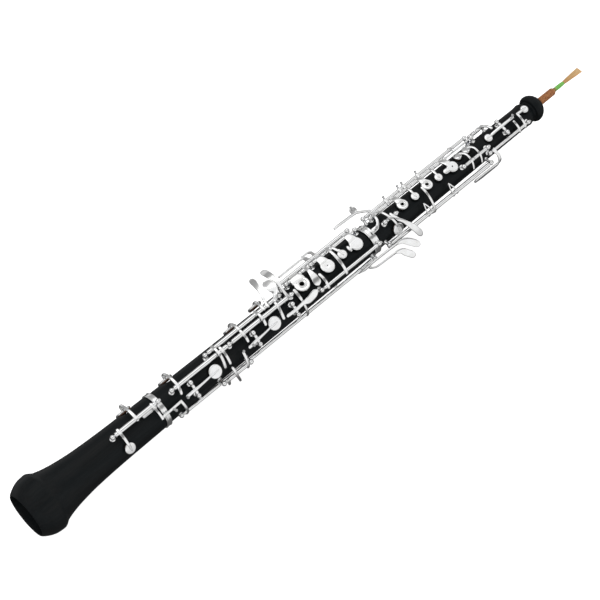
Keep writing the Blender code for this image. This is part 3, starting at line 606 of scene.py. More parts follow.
# name: (hinge line, tube from, tube to, what it is made of).
KEYS = {
    # The low keys, which close from the left hand.
    "low_b_flat_key": ("bell_rod", 89.8, 131.2, [
        arm((93.6, -4, 21.2, 2.6), (93.5, -30, 20.6, 2.4), (93.4, -46, 19.9, 2.3)),
        cup(93.8, -55, 17.2, 4.9, spine=AROUND_LEFT),
        arm((111.2, -8, 21.2, 2.8), (111.3, 20, 22, 2.6), (111.5, 46, 22.6, 2.4), (111.7, 60, 20.8, 2.4),
            (111.8, 66, 17.6, 2.4)),
        cup(111.9, 72, 15.2, 7.2, opening=1.0, spine=AROUND_RIGHT),
        arm((127.8, -6, 21, 2.2), (128, -25, 21, 2), (128.3, -46, 20.4, 2.4), ends=(True, False)),
        arm((116.6, -13.5, 17.7, 2.4), (131, -13.5, 17.7, 2.4), thick=1.0),
    ]),
    "low_b_key": ("low_key_rod", 151.6, 208.6, [
        arm((155, -8, 19.9, 2.6), (155.2, 18, 20.8, 2.6), (155.4, 44, 21, 2.4), (155.4, 60, 19.2, 2.4),
            (155.4, 66, 16.6, 2.4)),
        arm((155, -3, 19.9, 2.6), (154.2, -16, 19.8, 2.4), (152.9, -30, 18.9, 2.4)),
        cup(155.4, 72, 14.2, 7, opening=1.0, spine=AROUND_RIGHT),
        arm((202.7, -2, 19.8, 2.6), (202.4, -25, 19.4, 2.4), (201.8, -49, 18.4, 2.4)),
    ]),
    # The right little finger: E flat, C and C sharp.
    "e_flat_key": ("low_key_rod", 214.2, 277.8, [
        arm((225.5, -2, 19.8, 2.6), (225.3, -18, 19.6, 2.4), (224.9, -33, 18.6, 2.4)),
        arm((264.5, -2, 19.8, 2.6), (263.2, -25, 19.2, 2.4), (262.1, -46, 18.6, 2.4)),
        arm((276.4, -8, 19.6, 2.8), (276.8, 8, 21.2, 2.4), (277.8, 22, 24, 2.6)),
        touch((277.4, 16, 22.8, 2.4), (278.4, 30, 26.8, 3.6), (278.2, 45, 31.2, 6.4),
              (279, 58, 33.8, 6.6), (280.2, 68, 35.6, 4), dish=0.5),
    ]),
    "low_c_key": ("little_finger_rod", 192.6, 260, [
        arm((198.6, 14, 20.4, 2.6), (198.4, 2, 21.6, 2.4), (198.2, -10, 21.6, 2.4),
            (197.5, -28, 20.2, 2.4), (196.4, -49, 18.2, 2.4)),
        arm((246.6, 14, 20.4, 2.6), (246.4, 2, 21.6, 2.4), (246.2, -10, 21.6, 2.4),
            (245.4, -28, 19.6, 2.4)),
        arm((225.6, 10, 20.2, 2.6), (225.8, 28, 20.4, 2.4), (226, 48, 18.9, 2.4), (226, 65, 16.1, 2.4)),
        cup(226, 72, 13.7, 6.6, opening=0.9, spine=AROUND_RIGHT),
        arm((253.6, 10, 20.2, 2.6), (254.2, 28, 20.8, 2.4), (255.2, 48, 20.2, 2.4),
            (255.6, 65, 18.3, 2.4)),
        cup(255.6, 72, 15.7, 6.8, opening=1.5, spine=AROUND_RIGHT),
        arm((258.1, 9, 20.2, 2.4), (259.2, 20, 21.2, 2.2), (260.6, 31, 23.2, 2.2)),
        touch((259.4, 22, 21.6, 2), (262, 37, 25.6, 2.4), (264.6, 51, 30.2, 4.6), (266.2, 60, 33.4, 5.6),
              (267.2, 67.5, 36.2, 3.6), dish=0.4),
    ]),
    "c_sharp_touch": ("little_finger_rod", 260.4, 268.8, [
        arm((266, 9, 20.2, 2.6), (267.6, 11, 21.8, 2.8), (269.4, 15, 23.4, 3)),
        touch((268.6, 12, 22.4, 3), (270.6, 19, 24.6, 6.6), (271.2, 28, 26.9, 9.2), (271, 37, 28.6, 8.8),
              (270.6, 44, 30, 5.4), dish=0.9),
    ]),
    # Seesaws on cross pivots.
    "c_sharp_key": ("c_sharp_pivot", 2.6, 10.3, [
        arm((154.6, -43, 18.6, 3), (165, -41, 19.4, 2.6), (174, -41, 18.6, 2), (182, -41, 17.2, 1.8)),
        cup(188.3, -41, 14.5, 6.1, spine=TOWARD_REED),
        screw(155.2, -42.5, 20.6),
    ]),
    "e_flat_vent_key": ("e_flat_pivot", 2.6, 8.7, [
        arm((222.6, -47, 17.6, 3), (233.3, -42, 18.9, 2.6), (242, -41.4, 18, 1.9),
            (248.2, -41, 16.6, 1.8)),
        cup(254.5, -41, 13.9, 6.1, spine=TOWARD_REED),
        screw(227, -46.5, 19.4),
    ]),
    "banana_key": ("banana_pivot", 2.6, 8.2, [
        touch((265.6, -45, 17.8, 2.8), (276, -45, 18.9, 3), (284, -44.5, 18.2, 3.2),
              (290, -46.5, 18.5, 6), (296, -43.5, 18.5, 6.6), (301, -38, 18.6, 4.8), dish=0.35),
    ]),
    # The left side: the link and the left little finger's two levers.
    "side_link_key": ("side_link_rod", 192, 216.1, [
        arm((201.6, -57, 18.2, 2.2), (201.8, -70, 20.2, 2.4), (202.4, -84, 21.4, 2.6),
            (203.6, -98, 23, 2.4), (204.3, -106, 24.2, 2.2)),
        arm((214.6, -84, 21.4, 2.6), (215.6, -64, 20, 2.4), (216.3, -42, 18.4, 2.6)),
        screw(216.4, -41, 19.8),
        arm((193.4, -80, 21.4, 2.6), (193.4, -93, 22, 2.4)),
    ]),
    "low_b_flat_lever": ("left_low_rod", 149.2, 350, [
        arm((151.6, -99, 17.4, 2.4), (151.2, -75, 18.2, 2.4), (150.4, -58, 18.4, 2.4),
            (149.2, -39, 18.4, 2.4), ends=(True, False)),
        arm((150.4, -42, 18.4, 2.4), (140, -43.5, 18.2, 2.2), (127.6, -46, 17.8, 2.4),
            ends=(False, True)),
        arm((141.4, -43, 18.2, 2), (141.4, -52, 18.2, 2.6), thick=1.3),
        screw(141.4, -49.5, 20),
        arm((286, -97, 17.4, 2.4), (286, -80, 16.7, 2.4), (285.8, -52, 15.7, 2.2),
            (285.8, -28, 15.8, 2.6), (286, 4, 16.5, 2.8)),
        arm((348, -99, 17.4, 2.6), (351, -88, 19.6, 2.4), (362, -80, 20.4, 2.2), (378, -79, 20.8, 2.2),
            (390, -79, 21.4, 2.6)),
        touch((388, -79, 21.3, 2.6), (393, -80, 22, 4.2), (398, -85, 25, 6.8), (402.5, -91, 29, 7),
              (406.2, -95.5, 32.6, 4.2), facing=-35, dish=0.25),
    ]),
    "low_b_lever": ("left_low_rod", 350.4, 363.4, [
        arm((357, -95, 17.4, 2.8), (358.5, -101, 20, 2.6), (363, -97, 23, 2.2), (376, -92, 24.2, 2.2),
            (384.5, -90, 25, 2.4)),
        touch((383, -90, 24.9, 2.4), (387.6, -91, 26.4, 4.4), (391.4, -96, 29.6, 6.6),
              (395.2, -101, 33, 6.6), (398.8, -105, 36, 4.2), facing=-35, dish=0.25),
    ]),
    # The lower stack, from the right third finger up.
    "right_third_finger_key": ("lower_stack_rod", 288.2, 303, [
        arm((295.4, 36, 18.6, 10.5), (295.4, 24, 17.4, 12.4), (295.3, 14, 16.2, 13.4), thick=1.7,
            ends=(True, False)),
        cup(295.3, 2, 14.4, 7, hole=2.1, ridge=3.6, opening=1.0),
    ]),
    "f_key": ("lower_stack_rod", 303.4, 311.6, [
        touch((308, 36, 18.6, 3), (307.8, 22, 18.3, 2.8), (307.4, 8, 17.9, 4.2), (306.8, -8, 17.5, 6.2),
              (306.2, -22, 17.1, 7.2), (305.9, -34, 16.8, 5.2), dish=0.7),
    ]),
    "right_second_finger_key": ("lower_stack_rod", 317, 330, [
        arm((323.5, 36, 18.4, 6.4), (323.5, 22, 17.2, 7.6), (323.6, 10, 16.1, 9.2), ends=(True, False)),
        cup(323.7, -4, 14.1, 6.4, hole=0.45, opening=1.15),
    ]),
    "right_first_finger_key": ("lower_stack_rod", 330.4, 362, [
        arm((356.6, 36, 18.4, 6.4), (356.6, 20, 17, 7.6), (356.8, 8, 15.9, 9.2), ends=(True, False)),
        cup(357, -5.5, 13.9, 6.2, opening=1.2),
        arm((348.8, -6, 15, 3), (354, -6, 15, 3), thick=1.2),
        arm((349, 6, 15.5, 2.2), (348.7, -6, 15.7, 2.7), (349.2, -17, 15.5, 2), thick=1.4),
        arm((338.6, 34, 18.2, 2.8), (339.6, 18, 16.8, 2.6), (340.6, 6, 16, 2.4)),
        cup(341, -4, 13.7, 4.3, opening=1.05, spine=AROUND_LEFT),
    ]),
    # Bars and links beside the stacks.
    "long_side_bar": ("long_bar_rod", 282.6, 358.2, [
        arm((315.8, 44, 20.8, 4), (315.8, 60, 23, 3.6)),
        arm((316, 60, 22.9, 2.2), (303, 61, 22.9, 2.2), (287.2, 61, 22.9, 2.2), thick=1.8),
        arm((323.2, 44, 20.8, 2.6), (323.6, 56, 22.8, 2.6), (320.8, 64, 24, 2.4), (315.4, 64, 24, 2.4),
            thick=1.8),
    ]),
    "front_link_key": ("front_link_rod", 308.2, 370.8, [
        arm((311.8, -52, 18.8, 2.6), (312.2, -28, 18, 2.4), (312, -7, 16.6, 2.6)),
        arm((332.8, -52, 18.8, 2.8), (333, -28, 18.8, 2.6), (333.3, 5, 19.6, 2.6),
            (333.6, 36, 20.4, 2.8)),
    ]),
    "trill_lever": ("trill_lever_rod", 383.3, 504.4, [
        touch((351.9, 49, 27, 1.8), (357, 49.3, 27, 3.2), (366, 50, 26.6, 3.6), (377, 51, 26, 3.6),
              (384.6, 49, 22.8, 2.8), (391, 49, 19.3, 2.6), thick=2.4, top=2.0, under=2.0),
        arm((377.6, 51, 26, 5), (379, 59, 28.4, 6.4), (380.4, 67, 30.6, 5.6)),
        screw(379, 60, 30.8),
        arm((488.6, 52, 19, 2.6), (488.6, 36, 18.6, 2.4), (488.6, 26, 17.2, 2.4)),
    ]),
    # G sharp, and the upper stack from the left third finger up.
    "g_sharp_touch": ("g_sharp_rod", 392.2, 400.6, [
        arm((398.4, -8, 17.9, 2.6), (399.2, -20, 18.6, 2.8), (400.8, -32, 19.2, 3)),
        touch((399.2, -26, 18.9, 2.8), (402.4, -38, 19.7, 3), (405.2, -52, 20.9, 4.4),
              (408.6, -69, 22.9, 6), (411.4, -83, 25.4, 6.2), (413.2, -92, 27.4, 3.6), facing=-45,
              dish=0.2),
    ]),
    "g_sharp_key": ("upper_stack_rod", 388.2, 405.6, [
        arm((392.8, 40, 16.8, 2.6), (393, 24, 18.6, 2.4), (393.5, 8, 19.7, 2.2), (394.8, -12, 20, 2.2),
            (396.6, -34, 18.2, 2.2), (398, -50, 15.3, 2.2)),
        cup(398.5, -60.5, 13, 5.5, spine=AROUND_LEFT),
        arm((389.8, 38, 17.4, 2.4), (387, 22, 18.6, 2.4), (385.6, 8, 18.3, 2.4), (383, -4, 17.3, 2.6),
            (379.5, -9.5, 16.7, 4.2), (374.5, -10, 16.6, 4.6)),
        screw(379.3, -10, 19.2),
    ]),
    "left_third_finger_key": ("upper_stack_rod", 406, 434.8, [
        arm((414.2, 42, 16.6, 4.6), (414.5, 25, 15.9, 5.6), (414.8, 13, 15, 7.2), ends=(True, False)),
        cup(415, 1.5, 12.9, 5.2, hole=1.4, ridge=2.3, opening=1.05),
        arm((430.2, 40, 16.5, 2.6), (430, 22, 15.6, 2.4), (429.6, 7, 14.8, 2.2)),
        cup(429.5, -4, 12.6, 3.8, opening=1.0, spine=AROUND_LEFT),
        *tab(407.6),
        *tab(424.6),
        *tab(429.8),
    ]),
    "left_second_finger_key": ("upper_stack_rod", 435.2, 464, [
        arm((444.8, 42, 16.5, 4.6), (445.2, 25, 15.7, 5.6), (445.6, 14, 14.8, 7.2), ends=(True, False)),
        cup(445.8, 2.5, 12.6, 5.2, hole=1.4, ridge=2.3, opening=1.05),
        arm((459.6, 40, 16.4, 2.6), (459.4, 22, 15.4, 2.4), (459.1, 8, 14.5, 2.2)),
        cup(459, -3, 12.3, 3.7, opening=1.0, spine=AROUND_LEFT),
        *tab(447),
    ]),
    "left_first_finger_key": ("upper_stack_rod", 464.4, 475, [
        arm((472, 42, 16.3, 4.6), (473.8, 25, 15.5, 5.6), (475.6, 11, 14.5, 7.4), ends=(True, False)),
        cup(476.2, -5, 12.2, 5.3, hole=0.6, opening=1.1),
        touch((472.6, -5, 13.7, 5.2), (468.8, -4.5, 13.8, 4.8), (465.6, -4, 13.6, 5), thick=1.5),
    ]),
    "left_link_key": ("left_link_rod", 385.7, 508.2, [
        arm((437.8, -84, 18.9, 2.4), (437.9, -66, 17.8, 2.2), (438.4, -30, 16.2, 2.2),
            (438.8, 5, 15.9, 2.2)),
        *leaf(431.4),
        *leaf(462.4),
    ]),
    # Trill and octave keys.
    "first_trill_key": ("trill_rod", 486.7, 496.6, [
        arm((490, 20, 14.2, 2.4), (492.4, 6, 15, 2.1), (493.1, -10, 16, 1.9), (492.9, -30, 16.5, 2.1),
            (492.3, -46, 16.1, 1.8), (491.3, -60, 15.8, 1.7)),
        cup(488.3, 18, 11.4, 3.9, spine=AROUND_RIGHT),
    ]),
    "second_trill_key": ("trill_rod", 497, 512.1, [
        arm((500.4, 20, 14.1, 2.4), (502.6, 6, 15, 2.1), (503.5, -10, 16, 1.9), (503.4, -30, 16.5, 2.1),
            (502.9, -46, 16.1, 1.8), (501.9, -60, 15.8, 1.7)),
        cup(498.8, 18, 11.3, 3.9, spine=AROUND_RIGHT),
    ]),
    "second_octave_key": ("octave_rod", 517.4, 562.2, [
        arm((519.2, -54, 15.2, 3.2), (520.4, -72, 17.8, 3.2), (520.2, -88, 19.8, 3.4),
            (518, -97, 20, 4.4)),
        touch((519, -98, 20, 4.6), (512, -100, 19.9, 6), (500, -100, 19.8, 7.8), (488.4, -99, 19.5, 5.4),
              thick=2.3),
        arm((552.5, -58, 15.2, 2.4), (552.2, -36, 14.9, 2.2), (551.8, -15, 14.6, 2.2)),
        arm((559.8, -58, 15.2, 2.4), (559.8, -30, 14.8, 2.2), (559.8, -4, 14.4, 2.4)),
        arm((559, -5, 14.2, 2.5), (563, -5.2, 14, 2.5), (566.8, -5.4, 13.5, 2.5)),
        cup(570.2, -5, 11.2, 3.7, spine=TOWARD_REED),
    ]),
    "first_octave_key": ("first_octave_pivot", 2.5, 10.8, [
        arm((526, -4.4, 13.5, 2.6), (531, -4.4, 14.4, 2.6), (540, -5, 15.4, 2.8), (548, -5, 15.3, 2.6),
            (555, -4.5, 15, 2.6)),
        screw(553.2, -3.5, 17.6),
        cup(523.2, -4.4, 11.1, 3.8, spine=TOWARD_BELL),
    ]),
    "thumb_octave_key": ("thumb_octave_rod", 517.3, 527.6, [
        arm((525.7, 64, 16.2, 2.6), (526.8, 44, 17, 2.4), (529.2, 26, 17, 2.4), (530.4, 6, 16.6, 2.6)),
        arm((520.8, 60, 16.2, 2.8), (518, 90, 16, 2.8), (514, 125, 15, 3), (509, 160, 14.6, 6)),
        touch((510, 156, 14.6, 7), (503, 168, 14.6, 10), (493, 170, 14.6, 9), (489, 170, 14.6, 6)),
    ]),
}


# ---------------------------------------------------------------- body
def hollow(outline, sides):
    """A hollow shell turned about the bore from a closed outline of (x, radius)."""
    shell = Shell()
    shell.turned(ORIGIN, X_AXIS, outline, sides, closed=True)
    return shell


def body_radius(x):
    """Radius of the wood's outside at a place along the bore."""
    outline = BELL_LIP + BELL_FLARE + LOWER_OUTSIDE + UPPER_OUTSIDE + [(CROWN_TOP, 10.0)]
    for (x0, r0), (x1, r1) in zip(outline, outline[1:]):
        if x0 <= x <= x1:
            return r0 + (r1 - r0) * (x - x0) / (x1 - x0)
    return outline[-1][1]


def all_cups():
    parts = [part for key in KEYS.values() for part in key[3]]
    return [(spot, how) for kind, spot, how in parts if kind == "cup"]


def cut_away(body, cutter):
    """Take a shell's solid out of an object's mesh."""
    knife = to_object("knife", cutter)
    step = body.modifiers.new("cut", "BOOLEAN")
    step.operation = "DIFFERENCE"
    step.solver = "EXACT"
    step.object = knife
    depsgraph = bpy.context.evaluated_depsgraph_get()
    mesh = bpy.data.meshes.new_from_object(body.evaluated_get(depsgraph))
    body.modifiers.clear()
    body.data = mesh
    bpy.data.objects.remove(knife)


def add_on(body, extra):
    """Add a shell's surfaces to an object's mesh."""
    raised = to_object("raised", extra)
    whole = bmesh.new()
    whole.from_mesh(body.data)
    whole.from_mesh(raised.data)
    whole.to_mesh(body.data)
    whole.free()
    bpy.data.objects.remove(raised)


def cut_tone_holes(body, x_from, x_to, bore):
    """Mill the recess and the tone hole under each cup out of the wood, and leave a raised seat."""
    cutter = Shell()
    seats = Shell()
    for (x, turn, bottom, radius), how in all_cups():
        if not x_from < x < x_to:
            continue
        seat = bottom - PAD_THICKNESS - how["opening"]
        floor = seat - CHIMNEY_HEIGHT
        hole = max(how["hole"] + 0.4, radius * 0.38)
        wall = radius + RECESS_MARGIN
        outline = [(bore, 0.0), (bore, hole), (floor, hole), (floor, wall)]
        outline += [(CUTTER_TOP, wall), (CUTTER_TOP, 0.0)]
        start = Vector((x, 0, 0))
        cutter.turned(start, outward(turn), outline, 56)
        rim = [(floor - 0.3, hole), (seat - 0.3, hole), (seat, hole + 0.35), (seat, hole + 0.5),
               (seat - 0.45, hole + 1.0), (floor + 0.15, hole + 1.15), (floor - 0.3, hole + 1.35)]
        seats.turned(start, outward(turn), rim, 48, closed=True)
    cut_away(body, cutter)
    add_on(body, seats)
    body.data.shade_smooth()
    body.data.set_sharp_from_angle(angle=math.radians(30))


def make_wood(name, outline, x_from, x_to, bore):
    """A part of the body, with the tone holes that lie between two places along the bore."""
    body = to_object(f"{name}_wood", hollow(outline, BODY_SIDES))
    cut_tone_holes(body, x_from, x_to, bore)
    piece(f"{name}_wood", body, LOOKS["blackwood"], stands_for=[name])


def make_bell():
    mouth = smooth_outline(BELL_LIP)
    outside = mouth + smooth_outline(BELL_SHOULDER)[1:] + smooth_outline(BELL_FLARE, 2.5)[1:]
    outside += [(BELL_END - 0.4, 14.95), (BELL_END, 14.6)]
    socket = [(BELL_END, 10.6), (114, 10.6), (113.9, 8.6)]
    inside = smooth_outline(BELL_HOLLOW, 2.5)
    lip = [(0.35, 19.25), (0.05, 19.45)]
    make_wood("bell", outside + socket + inside + lip, 0, BELL_END, BELL_BORE)


def make_joints():
    """The two long joints, with their tenons, sockets and the bulb round the reed's well."""
    tenon_start = JOINT_START - 21.0
    top = MIDDLE_RING_START - 0.3
    lower = [(tenon_start, 8.0), (tenon_start, TENON_RADIUS), (JOINT_START, TENON_RADIUS)]
    lower += [(JOINT_START, 14.2)]
    lower += smooth_outline([(JOINT_START + 0.4, 14.5)] + LOWER_OUTSIDE[1:-1] + [(top - 0.4, 12.4)])
    lower += [(top, 12.1), (top, 9.2), (357.0, 9.2), (356.9, 5.0)]
    make_wood("lower_joint", lower, JOINT_START, MIDDLE_RING_START, LOWER_BORE)

    upper = [(358.0, 4.6), (358.0, 8.0), (UPPER_START, 8.0), (UPPER_START, 11.8)]
    upper += smooth_outline([(UPPER_START + 0.4, 12.1)] + UPPER_OUTSIDE[1:], 4.0)
    upper += smooth_outline(CROWN_WAIST, 0.6)[1:] + smooth_outline(CROWN_BULB, 0.5)[1:]
    upper += [(CROWN_TOP, 4.9), (CROWN_TOP, 4.3), (CROWN_TOP - 0.4, 4.15), (572, 3.7), (571.9, 2.2)]
    make_wood("upper_joint", upper, UPPER_START, CROWN_TOP, UPPER_BORE)


def make_rings():
    """The two silver rings: a broad hollow band between two beads."""
    # A bead at either edge of a ring: (distance from the edge, height over the ring's radius).
    bead = [(0, -0.7), (0.25, 0.0), (0.75, 0.22), (1.25, -0.05), (1.55, -0.28)]
    for name, start, end, radius, bore in (
            ("bell_ring", BELL_END + 0.3, RING_END, BELL_RING_RADIUS, 10.7),
            ("middle_ring", MIDDLE_RING_START, MIDDLE_RING_END, MIDDLE_RING_RADIUS, 9.2)):
        band = [(start, bore)] + [(start + inward, radius + height) for inward, height in bead]
        band += [((start + end) / 2, radius - 0.1)]
        band += [(end - inward, radius + height) for inward, height in reversed(bead)] + [(end, bore)]
        shell = hollow(filleted(band, 0.35), 128)
        piece(f"{name}_metal", shell, LOOKS["ring_silver"], stands_for=[name])


def make_tenon_corks():
    for name, start, end, inner, outer in (
            ("lower_tenon_cork", 118.5, 130.5, TENON_RADIUS, 10.25),
            ("upper_tenon_cork", 360.0, 369.0, 8.0, 8.85)):
        outline = [(start, inner), (start, outer - 0.1), (start + 0.8, outer), (end - 0.8, outer),
                   (end, outer - 0.1), (end, inner)]
        shell = hollow(filleted(outline, 0.3), 72)
        piece(f"{name}_sleeve", shell, LOOKS["cork"], stands_for=[name])


# ---------------------------------------------------------------- posts and rods
def add_screw_head(shell, centre, axis, radius, height):
    """A slotted cheese head: two halves standing on a disc."""
    disc = [(0, 0.0), (0, radius), (height * 0.55, radius), (height * 0.55, 0.0)]
    shell.turned(centre, axis, filleted(disc, 0.08), 20)
    across, along = side_vectors(axis)
    slot = radius * 0.17
    steps = 10
    for way in (1, -1):
        rings = []
        for lift, shrink in ((height * 0.5, 1.0), (height * 0.85, 1.0), (height, 0.86)):
            middle = centre + axis * lift
            size = radius * shrink
            ring = [middle + across * way * slot + along * way * end * size * 0.98 for end in (-1, 1)]
            for k in range(steps + 1):
                angle = math.pi / 2 - math.pi * k / steps
                out = max(slot, math.cos(angle) * size)
                ring.append(middle + across * way * out + along * way * math.sin(angle) * size)
            rings.append(ring)
        shell.loft(rings)


def add_post(shell, top):
    """A turned post: a foot flange on the wood, a neck and a ball that the rod goes through."""
    turn, r = turn_and_radius(top)
    on_ring = BELL_END < top.x < RING_END
    wood = BELL_RING_RADIUS + 0.05 if on_ring else body_radius(top.x)
    height = r - wood
    foot = min(0.75, height * 0.35)
    outline = [(-0.9, 0.0), (-0.9, 2.35), (foot * 0.55, 2.35), (foot, 1.9), (foot + 0.15, 1.35)]
    rise = height - POST_HEAD * 0.78
    if rise > foot + 0.5:
        outline += [((foot + rise) / 2, 1.15), (rise, 1.35)]
    for k in range(3, 13):
        angle = math.pi * (-0.5 + k / 12)
        outline.append((height + POST_HEAD * math.sin(angle), max(0.0, POST_HEAD * math.cos(angle))))
    shell.turned(place(top.x, turn, wood), outward(turn), outline, 24)


def add_spring(shell, top, axis):
    """A needle spring: a thin wire out of a post's neck, under the key's tube."""
    turn, r = turn_and_radius(top)
    foot = place(top.x, turn, (r + body_radius(top.x)) / 2 - 0.2)
    reach = axis * SPRING_LENGTH + outward(turn) * 0.5
    wire = [(0, 0.0), (0, 0.3), (reach.length, 0.12), (reach.length, 0.0)]
    shell.turned(foot, reach.normalized(), wire, 8)


def make_rod(name):
    """A hinge line's posts, the steel rod between them and the needle springs in the end posts."""
    (start, end), _, middle_posts = LINES[name]
    length = (end - start).length
    axis = (end - start).normalized()
    posts = Shell()
    for spot in [start, end] + [start + axis * distance for distance in middle_posts]:
        add_post(posts, spot)
    rod = Shell()
    tip = POST_HEAD * 0.9
    outline = [(0, 0.0), (0, ROD_RADIUS), (length + tip, ROD_RADIUS), (length + tip, 0.0)]
    rod.turned(start - axis * tip, axis, outline, 24)
    add_screw_head(rod, end + axis * (tip - 0.15), axis, 1.25, 0.7)
    piece(f"{name}_posts", posts, LOOKS["post_silver"], stands_for=[name])
    piece(f"{name}_steel", rod, LOOKS["post_silver"])
    if length > 3 * SPRING_LENGTH:
        springs = Shell()
        add_spring(springs, start, axis)
        add_spring(springs, end, -axis)
        piece(f"{name}_springs", springs, LOOKS["springs"])


# ---------------------------------------------------------------- keys
def add_tube(shell, start, end, radius):
    """A key's tube round its rod, with its ends eased."""
    length = (end - start).length
    outline = [(0, ROD_RADIUS + 0.15), (0, radius - 0.2), (0.2, radius), (length - 0.2, radius),
               (length, radius - 0.2), (length, ROD_RADIUS + 0.15)]
    shell.turned(start, (end - start).normalized(), outline, 36, closed=True)


def add_saddle(shell, spot, axis, radius, width):
    """The collar that holds an arm on its tube."""
    half = width / 2 + 0.3
    outline = [(-half, radius - 0.2), (-half, radius + 0.1), (-half + 0.2, radius + 0.2),
               (half - 0.2, radius + 0.2), (half, radius + 0.1), (half, radius - 0.2)]
    shell.turned(spot, axis, outline, 32, closed=True)


def add_arm(shell, points, how, line, radius):
    """An arm; where it starts on a tube along the bore it gets a collar and laps over the tube."""
    start, end = line
    axis = (end - start).normalized()
    first = place(*points[0][:3])
    foot = start + axis * (first - start).dot(axis)
    lies_on_tube = (first - foot).length < radius + 1.6 and abs(axis.x) > ALONG_BORE
    leaves = place(*points[1][:3]) - first
    if lies_on_tube and abs(leaves.x) < leaves.length * 0.7:
        add_saddle(shell, foot, axis, radius, points[0][3])
        x, turn, r, width = points[0]
        lap = math.copysign(math.degrees(LAP / r), turn - points[1][1])
        points = [(x, turn + lap, r - 0.3, width)] + list(points)
    shell.bar(points, **how)


def cup_outline(radius, hole, ridge):
    """A cup from its rim up: (height, radius). Round a finger hole it closes on itself."""
    top = CUP_THICKNESS
    side = [(0, radius - 0.15), (0.25, radius), (top - 0.55, radius)]
    if not hole:
        crown = [(top - 0.05, radius - 0.6), (top + 0.1, radius * 0.45), (top + 0.14, 0.0)]
        return [(0, 0.0)] + side + crown
    raised = [(top, ridge + 0.9), (top + 0.42, ridge + 0.35), (top + 0.42, ridge - 0.15),
              (top + 0.05, ridge - 0.6)]
    inner = [(top - 0.05, hole + 0.3), (top - 0.35, hole)]
    return [(0, hole)] + side + [(top, radius - 0.6)] + (raised if ridge else []) + inner


def pad_outline(radius, hole):
    """A pad that fills a cup, from inside the cup down: (height, radius)."""
    under = -PAD_THICKNESS
    edge = radius - 0.4
    cushion = filleted([(0.2, edge - 0.1), (-0.15, edge), (under + 0.35, edge), (under, edge - 0.45)], 0.3, 3)
    if hole:
        return cushion + [(under, hole + 0.7), (0.2, hole + 0.7)]
    return [(0.2, 0.0)] + cushion + [(under - 0.02, 0.0)]


def add_cup(metal, pads, spot, how):
    """A pad cup with its pad, a finger hole where it has one, and the end of its arm over it."""
    x, turn, bottom, radius = spot
    out = outward(turn)
    centre = place(x, turn, bottom)
    hole = how["hole"]
    open_middle = hole > 0
    metal.turned(centre, out, filleted(cup_outline(radius, hole, how["ridge"]), 0.3, 3), 56, open_middle)
    pads.turned(centre, out, pad_outline(radius, hole), 48, open_middle)
    if how["spine"]:
        along, around = how["spine"]
        way = X_AXIS * along + out.cross(X_AXIS) * around
        reach = [-radius - 0.8, -radius * 0.4, 0.0, radius * 0.5]
        lifts = [0.55, 0.4, 0.25, 0.05]
        line = [centre + way * d + out * (CUP_THICKNESS + lift) for d, lift in zip(reach, lifts)]
        metal.ribbon(line, [out] * len(line), [2.3, 2.2, 1.7, 0.8], 1.1, top=2.0, under=4.0)


def add_adjusting_screw(shell, spot):
    """A short pin and its slotted head."""
    x, turn, r = spot
    out = outward(turn)
    pin = [(0, 0.0), (0, 0.8), (SCREW_LENGTH, 0.8), (SCREW_LENGTH, 0.0)]
    shell.turned(place(x, turn, r - 1.6), out, pin, 20)
    add_screw_head(shell, place(x, turn, r - 1.8 + SCREW_LENGTH), out, 1.2, 0.8)


def make_key(name):
    """A key: its tube, collars, arms, touches, cups and pads.

    Its tube's ends are places along the bore or, on a cross pivot, distances from the first post.
    """
    line_name, tube_from, tube_to, parts = KEYS[name]
    line, radius, _ = LINES[line_name]
    start, end = line
    axis = (end - start).normalized()
    origin = start.x if abs(axis.x) > ALONG_BORE else 0.0
    metal, pads, steel = Shell(), Shell(), Shell()
    add_tube(metal, start + axis * (tube_from - origin), start + axis * (tube_to - origin), radius)
    for kind, spot, how in parts:
        if kind == "arm":
            add_arm(metal, spot, how, line, radius)
        elif kind == "cup":
            add_cup(metal, pads, spot, how)
        else:
            add_adjusting_screw(steel, spot)
    piece(f"{name}_metal", metal, LOOKS["key_silver"], name, [name])
    if pads.verts:
        piece(f"{name}_pads", pads, LOOKS["pads"], name)
    if steel.verts:
        piece(f"{name}_screws", steel, LOOKS["screws"], name)


def make_thumb_rest():
    """The rest for the right thumb: a screwed plate on the back with a curved hook."""
    x = THUMB_REST_X
    back = body_radius(x) + 0.35
    shell = Shell()
    plate = [(x - 14, 180, back + 0.9, 8.4), (x, 180, back + 0.8, 9), (x + 12, 180, back + 0.9, 8.4)]
    shell.bar(plate, 1.4, sides=24)
    hook = [(x + 5, back + 0.8, 9), (x + 3.6, 17, 11), (x + 2.2, 20.6, 13.4), (x - 1, 23.4, 14.4)]
    spots = [place(x + 5, 180, back)] + [place(along, 180, r) for along, r, _ in hook[1:]]
    rows = smooth(hook, spots, 0.6)
    line = [place(along, 180, r) for along, r, _ in rows]
    widths = [width for _, _, width in rows]
    shell.ribbon(line, [X_AXIS] * len(line), widths, 2.2, top=3.0, under=3.0, sides=28)
    for spot in (x - 10, x + 9):
        add_screw_head(shell, place(spot, 180, back + 1.4), outward(180), 1.7, 0.7)
    piece("thumb_rest_metal", shell, LOOKS["key_silver"], stands_for=["thumb_rest"])


